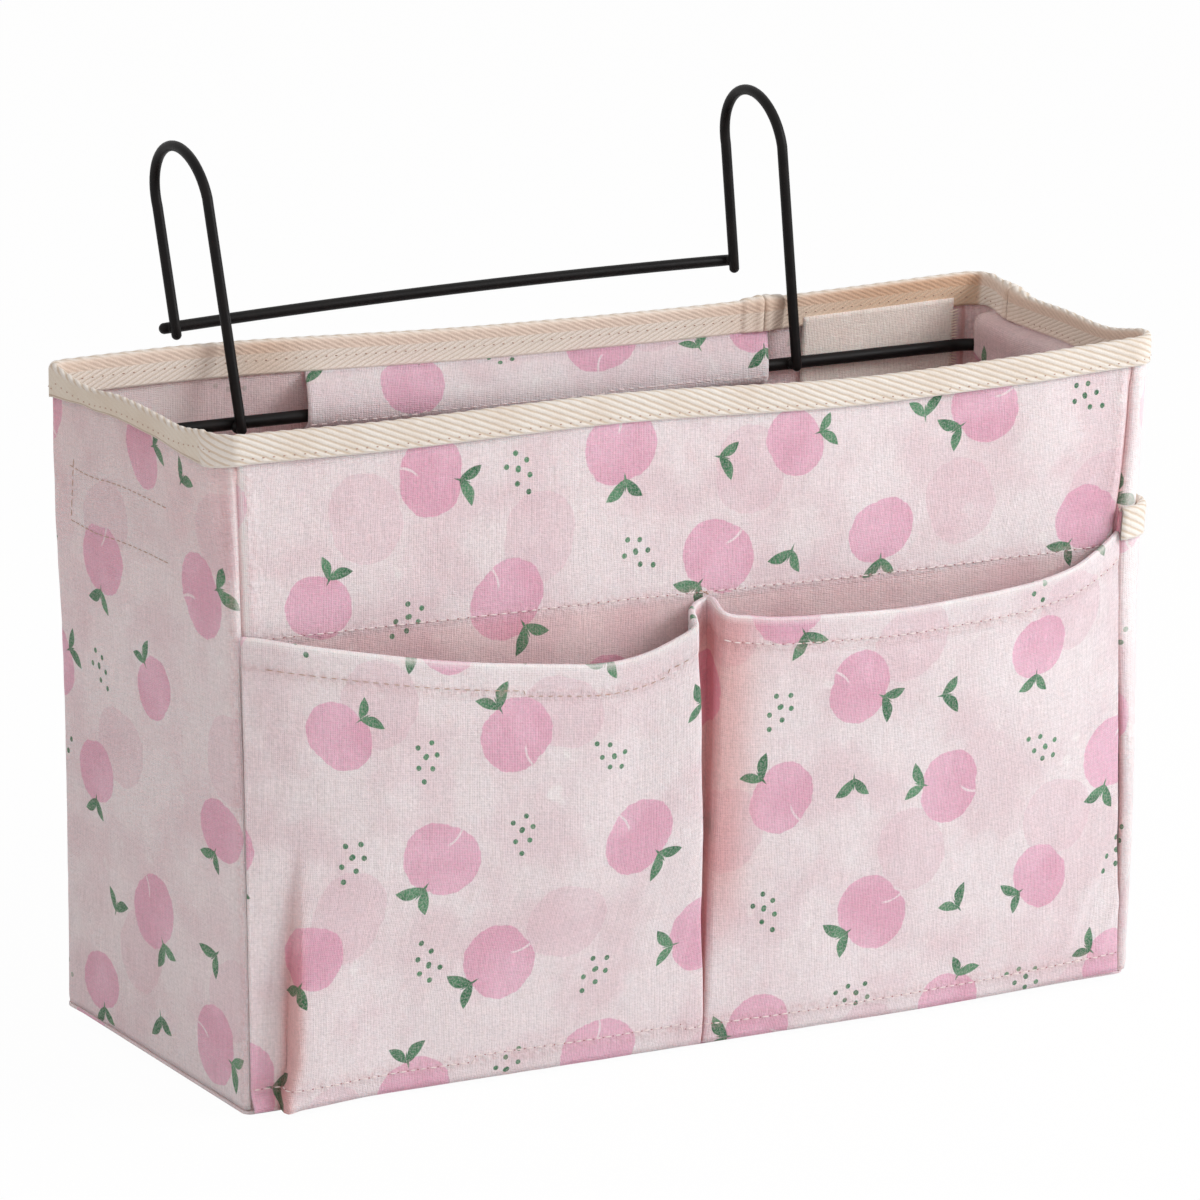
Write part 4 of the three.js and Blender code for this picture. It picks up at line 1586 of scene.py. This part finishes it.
def straight(first, last, pitch=4.0):
    first, last = np.array(first, float), np.array(last, float)
    count = max(2, int(np.linalg.norm(last - first) / pitch))
    return lerp(first, last, np.linspace(0, 1, count)[:, None])


def joined(*runs):
    """Runs of points as one, without the doubles where they meet"""
    points = np.concatenate(runs)
    fresh = np.linalg.norm(np.diff(points, axis=0), axis=1) > 0.01
    return points[np.concatenate([[True], fresh])]


def turned(points, angle):
    """Points leaned back about the rod's own line"""
    x, y, z = np.asarray(points, float).T
    cosine, sine = math.cos(angle), math.sin(angle)
    return np.stack([x, y * cosine + z * sine, z * cosine - y * sine], axis=-1)


def tube(path, diameter, sides=20):
    """Rings of a round wire with rounded tips"""
    radius = diameter / 2
    tangent = unit(np.gradient(path, axis=0))
    side = np.cross(tangent[0], (0.3, 0.5, 0.8))
    tip = np.linspace(90, 15, 5)
    cap = [(math.cos(math.radians(a)), math.sin(math.radians(a))) for a in tip]
    spots = [(path[0] - tangent[0] * radius * (s - 0.25), tangent[0], c) for c, s in cap]
    spots += [(point, along, 1.0) for point, along in zip(path[1:-1], tangent[1:-1])]
    spots += [(path[-1] + tangent[-1] * radius * (s - 0.25), tangent[-1], c) for c, s in cap[::-1]]
    turn = np.linspace(0, 2 * math.pi, sides + 1)[:-1]
    rings = []
    for centre, along, size in spots:
        side = unit(side - along * np.dot(side, along))
        over = np.cross(along, side)
        wave = side * np.cos(turn)[:, None] + over * np.sin(turn)[:, None]
        rings.append(centre + wave * radius * max(size, 0.02))
    return np.array(rings)


def ball(centre, sizes, rings=9, sides=16):
    """Rings of a weld bead"""
    polar = np.linspace(4, 176, rings)
    turn = np.linspace(0, 2 * math.pi, sides + 1)[:-1]
    points = []
    for angle in np.radians(polar):
        ring = np.stack([
            np.sin(angle) * np.cos(turn), np.sin(angle) * np.sin(turn), np.full(sides, np.cos(angle)),
        ], axis=-1)
        points.append(np.array(centre) + ring * np.array(sizes))
    return np.array(points)


def solid_piece(name, shells, body, node, material):
    """A piece of closed shells, each of rings of points and capped at both ends"""
    tidy = bmesh.new()
    for rings in shells:
        sides = rings.shape[1]
        rows = [[tidy.verts.new(point * MM) for point in ring] for ring in rings]
        for low, high in zip(rows[:-1], rows[1:]):
            for i in range(sides):
                tidy.faces.new((low[i], low[(i + 1) % sides], high[(i + 1) % sides], high[i]))
        tidy.faces.new(rows[0][::-1])
        tidy.faces.new(rows[-1])
    mesh = bpy.data.meshes.new(name)
    turn_out(tidy, mesh)
    mesh.shade_smooth()
    mesh.materials.append(material)
    declare(keep(name, mesh), body, node)


def wire_piece(name, shells, node, material):
    solid_piece(name, shells, "hanger", node, material)


def on_hanger(points):
    return turned(points, HANGER_LEAN) + np.array([0, ROD_Y, ROD_HEIGHT])


def hanger(material):
    """The rod with its arms, the two hooks with their weld beads, and the bar behind them"""
    bend_x = ARM_X - ROD_BEND
    rod = joined(
        straight((-ARM_X, -ARM_REACH, 0), (-ARM_X, -ROD_BEND, 0)),
        arc((-bend_x, -ROD_BEND, 0), (-ROD_BEND, 0, 0), (0, ROD_BEND, 0), 0, 90),
        straight((-bend_x, 0, 0), (bend_x, 0, 0)),
        arc((bend_x, -ROD_BEND, 0), (0, ROD_BEND, 0), (ROD_BEND, 0, 0), 0, 90),
        straight((ARM_X, -ROD_BEND, 0), (ARM_X, -ARM_REACH, 0)),
    )
    wire_piece("hanger_rod_wire", [tube(on_hanger(rod), ROD_DIAMETER)], "hanger_rod", material)
    height = HOOK_LEG + HOOK_GAP / 2
    rear_y = LEG_Y + HOOK_GAP
    behind = rear_y + WIRE_DIAMETER + WELD_GAP
    crossings = []
    for x, drift, tilt, foot, name in zip(HOOK_X, HOOK_DRIFT, HOOK_TILT, HOOK_FOOT, ("left", "right")):
        radius = HOOK_GAP / 2
        path = joined(
            straight((0, LEG_Y, -foot), (0, LEG_Y, HOOK_LEG)),
            arc((0, LEG_Y + radius, HOOK_LEG), (0, -radius, 0), (0, HOOK_SKEW, radius), 0, 180, 30),
            straight((0, rear_y, HOOK_LEG), (0, rear_y, BAR_HEIGHT - HOOK_HEEL)),
        )
        beads = [
            ball((0, -(ROD_DIAMETER + WELD_GAP) / 2, 1.2 - foot), (2.5, 1.5, 2.0)),
            ball((0, rear_y + (WIRE_DIAMETER + WELD_GAP) / 2, BAR_HEIGHT), (2.0, 1.0, 1.9)),
        ]

        def set_up(points, x=x, drift=drift, tilt=tilt):
            points = np.asarray(points, float) + 0.0
            points[..., 0] += drift * points[..., 2] / height
            shape = points.shape
            points = turned(points.reshape(-1, 3), math.radians(tilt)) + (x, 0, 0)
            return points.reshape(shape)

        shells = [tube(set_up(path), WIRE_DIAMETER + COATING)] + [set_up(bead) for bead in beads]
        shells = [on_hanger(shell.reshape(-1, 3)).reshape(shell.shape) for shell in shells]
        wire_piece(f"{name}_hook_wire", shells, f"{name}_hook", material)
        crossings.append(set_up([(0, behind, BAR_HEIGHT)])[0])
    run = unit(crossings[1] - crossings[0])
    start, end = crossings[0] - run * BAR_OVERHANG, crossings[1] + run * WIRE_DIAMETER / 2
    share = np.linspace(0, 1, 50)[:, None]
    bar = lerp(start, end, share) + 4 * share * (1 - share) * np.array([0, 0, BAR_BOW])
    shells = [tube(on_hanger(bar), WIRE_DIAMETER + 2 * COATING)]
    wire_piece("rear_bar_wire", shells, "rear_bar", material)


# Sewing: stitches laid along lines on the cloth by one Geometry Nodes tree


STITCH_INPUTS = {
    "Places": "Geometry", "Stitch Length": "Float", "Thread Width": "Float",
    "Thread Height": "Float", "Unevenness": "Float", "Seed": "Int", "Thread": "Material",
}


def stitch_tree():
    """Lays a stitch at each place, turned by the place's own angles and of uneven length"""
    tree = bpy.data.node_groups.new("stitches", "GeometryNodeTree")
    for name, kind in STITCH_INPUTS.items():
        tree.interface.new_socket(name, in_out="INPUT", socket_type=f"NodeSocket{kind}")
    tree.interface.new_socket("Stitches", in_out="OUTPUT", socket_type="NodeSocketGeometry")
    maker = Maker(tree)
    given = maker.node("NodeGroupInput")
    places, length, width, height, uneven, seed, thread = maker.outputs(given, *STITCH_INPUTS)
    random_inputs = {2: 1.0 - uneven, 3: 1.0, "Seed": seed}
    share = maker.node("FunctionNodeRandomValue", {}, random_inputs, 1)
    bead = maker.node("GeometryNodeMeshUVSphere", {}, {"Segments": 8, "Rings": 6, "Radius": 0.5})
    smooth = maker.node("GeometryNodeSetShadeSmooth", {}, {0: bead})
    turn_settings = {"data_type": "FLOAT_VECTOR"}
    turn = maker.node("GeometryNodeInputNamedAttribute", turn_settings, {"Name": "turn"})
    laid = maker.node("GeometryNodeInstanceOnPoints", {}, {
        "Points": places,
        "Instance": smooth,
        "Rotation": maker.node("FunctionNodeEulerToRotation", {}, {0: turn}),
        "Scale": maker.join(length * share, width, height),
    })
    real = maker.node("GeometryNodeRealizeInstances", {}, {0: laid})
    coloured = maker.node("GeometryNodeSetMaterial", {}, {"Geometry": real, "Material": thread})
    maker.node("NodeGroupOutput", {}, {0: coloured})
    return tree


def stations(points, normals, pitch, start):
    """Even places along a line, with the turn that lays a stitch along it"""
    length = run_length(points, 0)
    target = np.arange(pitch * start, length[-1], pitch)
    spots, turns = [], []
    for reach in target:
        index = int(np.clip(np.searchsorted(length, reach) - 1, 0, len(points) - 2))
        share = (reach - length[index]) / (length[index + 1] - length[index])
        along = Vector(points[index + 1] - points[index]).normalized()
        out = Vector(lerp(normals[index], normals[index + 1], share))
        over = out.cross(along).normalized()
        spots.append(lerp(points[index], points[index + 1], share) * MM)
        turns.append(Matrix((along, over, along.cross(over))).transposed().to_euler()[:])
    return spots, turns


# Gap between stitches, how uneven their lengths are, and the seed of that
THREAD_GAP = 0.9
STITCH_UNEVENNESS = 0.25
STITCH_SEED = 3


def sew(name, lines, tree, thread, length, width=0.34, pitch=None, start=0.5):
    """Stitches along lines, the first at start times their pitch"""
    spots, turns = [], []
    for points, normals in lines:
        more_spots, more_turns = stations(points, normals, pitch or length + THREAD_GAP, start)
        spots += more_spots
        turns += more_turns
    mesh = bpy.data.meshes.new(name)
    mesh.from_pydata([tuple(spot) for spot in spots], [], [])
    attribute = mesh.attributes.new("turn", "FLOAT_VECTOR", "POINT")
    attribute.data.foreach_set("vector", np.array(turns, np.float32).ravel())
    base = keep(name + "_places", mesh)
    modifier = base.modifiers.new("stitches", "NODES")
    modifier.node_group = tree
    values = {
        "Stitch Length": length * MM, "Thread Width": width * MM, "Thread Height": width * MM,
        "Unevenness": STITCH_UNEVENNESS, "Seed": STITCH_SEED, "Thread": thread,
    }
    for socket in tree.interface.items_tree:
        if socket.name in values:
            modifier[socket.identifier] = values[socket.name]
    bpy.context.view_layer.update()
    evaluated = base.evaluated_get(bpy.context.evaluated_depsgraph_get())
    made = bpy.data.meshes.new_from_object(evaluated)
    bpy.data.objects.remove(base)
    piece = keep(name, made)
    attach(piece, "bag")


def wall_line(index, first, last, out):
    """A line on a wall from one (place, height) to another, with its normals"""
    share = np.linspace(0, 1, 60)
    places = lerp(first[0], last[0], share)
    z = lerp(first[1], last[1], share)
    shares = share_at(index, places, z)
    points = wall(index)(shares, z, out)
    return points, unit(wall(index)(shares, z, out + np.sign(out)) - points)


def level_line(index, z, first, last, out):
    return wall_line(index, (first, z), (last, z), out)


def rim_line(index, drop, out):
    """A line below the rim along a wall and the edge after it, with its normals"""
    course = [(wall(index), np.linspace(0, 1, 80)), (edge(index + 1), np.linspace(0, 1, 9)[1:])]
    height = np.array([BAG_HEIGHT - drop])
    points = trace(course, height, out)[:, 0]
    return points, unit(trace(course, height, out + np.sign(out))[:, 0] - points)


# Distance between frayed threads, and how far they lie out of the back wall
FRAY_PITCH = 0.9
FRAY_OUT = -2.2


def fray(tree, thread):
    """Loose thread ends along the patch's cut edge"""
    ends = []
    cut = PATCH_X[1]
    for z in np.arange(FOOT_HEIGHT + 1, SLEEVE_TOP - 1, FRAY_PITCH):
        slant, reach = 1.3 * math.sin(z * 7.1), 0.7 * math.sin(z * 12.7)
        ends.append(wall_line(BACK, (cut - 1.2, z), (cut + 2.6 + reach, z + slant), FRAY_OUT))
    sew("patch_fray", ends, tree, thread, 3.4, 0.5, 3.7)


# How far the lines of sewing lie out of the walls: on the tape's two sides, on the outer cloth
# and behind the sleeves' cloth
ON_TAPE = SEWN_GAP + TAPE + 0.05
ON_INNER_TAPE = -(CLOTH + SEWN_GAP + TAPE + 0.05)
ON_CLOTH = 0.08
ON_SLEEVE = -(CLOTH * 2 + SEWN_GAP + 0.1)

# Heights of the sleeves' lower lines of sewing outside, on the side walls and on the back
LOW_LINE = FOOT_HEIGHT + 0.5
BACK_LOW_LINE = 158.0

# A front stitch's length, the columns that the hem's white line starts past the pleat and its
# brown line ends before it and starts in, and the ends of the tack over the pleat
FRONT_STITCH = 2.5
WHITE_FROM = 34
BROWN_FROM = 8
BROWN_BEFORE = 40
TACK = ((-2.6, 140.2), (0.6, 138.6))


def tape_lines():
    """Sewing round the rim's tape: outside on three walls, inside on three, and the left wall"""
    lines = [rim_line(index, OUTER_LEG - 1.7, ON_TAPE) for index in (FRONT, RIGHT, BACK)]
    return lines + [
        rim_line(BACK, BACK_INNER_LEG - 4.4, ON_INNER_TAPE),
        rim_line(RIGHT, TAPE_WIDTH - 2.0, ON_INNER_TAPE),
        rim_line(FRONT, TAPE_WIDTH - 2.0, ON_INNER_TAPE),
        wall_line(LEFT, (50, BAG_HEIGHT - 4.6), (-50, BAG_HEIGHT - 5.0), ON_TAPE),
    ]


def sleeve_lines_outside(left_panel):
    """The left sleeve's box of stitches, and two lines each for the other sleeves"""
    low, high = BACK_SLEEVE_X
    return [
        panel_line(left_panel, 1, (43, STITCH_HEIGHT), (-18.5, STITCH_HEIGHT)),
        panel_line(left_panel, 1, (43, LOW_LINE), (-18.5, LOW_LINE)),
        panel_line(left_panel, 1, (40, STITCH_HEIGHT + 3), (42.5, LOW_LINE)),
        level_line(RIGHT, STITCH_HEIGHT, -18.5, 40, ON_CLOTH),
        level_line(RIGHT, LOW_LINE, -18.5, 40, ON_CLOTH),
        level_line(BACK, STITCH_HEIGHT, high, low, ON_CLOTH),
        level_line(BACK, BACK_LOW_LINE, high, low, ON_CLOTH),
    ]


def sleeve_lines_inside():
    low, high = BACK_SLEEVE_X[0] + 1, BACK_SLEEVE_X[1] - 1
    return [
        level_line(BACK, STITCH_HEIGHT, low, high, ON_SLEEVE),
        level_line(BACK, BACK_LOW_LINE + 0.5, low, high, ON_SLEEVE),
        level_line(LEFT, STITCH_HEIGHT, 40, -18, ON_SLEEVE),
        level_line(RIGHT, STITCH_HEIGHT, -18, 40, ON_SLEEVE),
    ]


def sewing(front_panel, left_panel, pouch_lines, sleeve_line):
    tree = stitch_tree()
    white = sewing_thread("white_thread", rgb(240, 226, 224))
    brown = sewing_thread("brown_thread", rgb(186, 156, 138))
    sew("tape_stitches", tape_lines(), tree, brown, 0.9, 0.42, 3.4)
    sew("side_stitches", sleeve_lines_outside(left_panel), tree, brown, 2.9, 0.32, 3.2)
    sew("sleeve_stitches", [sleeve_line, *sleeve_lines_inside()], tree, white, 2.6, 0.34)
    front = panel_line(front_panel, 0, (-156, TOPSTITCH[0]), (148, TOPSTITCH[1]))
    hem, foot = pouch_lines
    middle = len(hem[0]) // 2
    lines = [front, foot, [values[middle + WHITE_FROM:] for values in hem]]
    sew("front_stitches", lines, tree, white, FRONT_STITCH, 0.45)
    # Dark pinkish beads between the stitches: painted shade in the stitch holes
    hole_shade = sewing_thread("stitch_hole_shade", rgb(176, 124, 126))
    sew("front_stitch_hole_shade", lines, tree, hole_shade, 0.7, 0.4, FRONT_STITCH + THREAD_GAP, 1.0)
    left_hem = [values[BROWN_FROM:middle - BROWN_BEFORE] for values in hem]
    sew("hem_stitches", [left_hem], tree, brown, 2.4, 0.3)
    sew("pleat_tack", [panel_line(front_panel, 0, *TACK)], tree, brown, 1.4, 0.5, 1.2)
    fray(tree, sewing_thread("raw_thread", rgb(240, 224, 208)))


# Light, floor and world


# The floor's half width in metres, how far it lies below the bag's foot in millimetres, and how
# much of it glows white for the camera
FLOOR_REACH = 8.0
FLOOR_GAP = 0.3
FLOOR_GLOW = 0.97

# The world's light, and the lamps' name, place and size in metres, power and colour
WORLD_LIGHT = 0.62
LAMPS = (
    ("key", (1.0, -0.74, 0.82), 0.7, 11.8, (252, 253, 255)),
    ("fill", (-2.2, -2.2, 1.6), 2.2, 6.0, (255, 240, 236)),
)
LAMP_AIM = (0, 0, 0.1)


def add_world():
    """A soft light from all round, which looks plain white itself"""
    world = bpy.data.worlds.new("studio")
    bpy.context.scene.world = world
    world.use_nodes = True
    maker = Maker(world.node_tree)
    inputs = {"Color": rgb(255, 248, 246), "Strength": WORLD_LIGHT}
    light = maker.node("ShaderNodeBackground", {}, inputs)
    white = maker.node("ShaderNodeBackground", {}, {"Color": (1, 1, 1, 1)})
    blend = maker.node("ShaderNodeMixShader", {}, {0: maker.direct_ray(), 1: light, 2: white})
    maker.node("ShaderNodeOutputWorld", {}, {"Surface": blend})


def add_floor():
    mesh = bpy.data.meshes.new("floor")
    low = -(FOOT_DROP + FLOOR_GAP) * MM
    turns = ((-1, -1), (1, -1), (1, 1), (-1, 1))
    corners = [(x * FLOOR_REACH, y * FLOOR_REACH, low) for x, y in turns]
    mesh.from_pydata(corners, [], [(0, 1, 2, 3)])
    floor = keep("floor", mesh)
    finish = Finish("pale_floor")
    diffuse = finish.node("ShaderNodeBsdfDiffuse", {}, {"Color": rgb(250, 249, 249)})
    glow = finish.node("ShaderNodeEmission", {}, {"Color": (1, 1, 1, 1), "Strength": 1.0})
    share = finish.direct_ray() * FLOOR_GLOW
    shader = finish.node("ShaderNodeMixShader", {}, {0: share, 1: diffuse, 2: glow})
    finish.node("ShaderNodeOutputMaterial", {}, {"Surface": shader})
    mesh.materials.append(finish.material)


def add_lamps():
    for name, place, size, power, colour in LAMPS:
        data = bpy.data.lights.new(name, "AREA")
        data.energy = power
        data.size = size
        data.color = rgb(*colour)[:3]
        lamp = bpy.data.objects.new(name, data)
        lamp.location = place
        lamp.rotation_euler = (Vector(LAMP_AIM) - Vector(place)).to_track_quat("-Z", "Y").to_euler()
        bpy.context.scene.collection.objects.link(lamp)


def main():
    add_camera()
    outside = canvas("printed_canvas", 1.0, 0)
    cloth = outside, canvas("printed_canvas_reverse", 0.4, 0.45)
    tape = cotton_tape()
    front, left = bag_panels(cloth)
    board(grey_board())
    bottom_canvas(cloth)
    rim_tapes(tape)
    pouch_lines = pouch_strip(cloth)
    side_pocket(cloth, tape)
    sleeve_line = sleeves(cloth)
    # The patch's reverse side is paler, and painted lighter still as if lit
    back_patch((canvas("patch_reverse", 0.15, 0.9, PATCH_LIT_PINK), outside))
    hanger(black_coating())
    sewing(front, left, pouch_lines, sleeve_line)
    add_world()
    add_floor()
    add_lamps()
    bpy.context.scene.view_settings.view_transform = "Standard"


main()
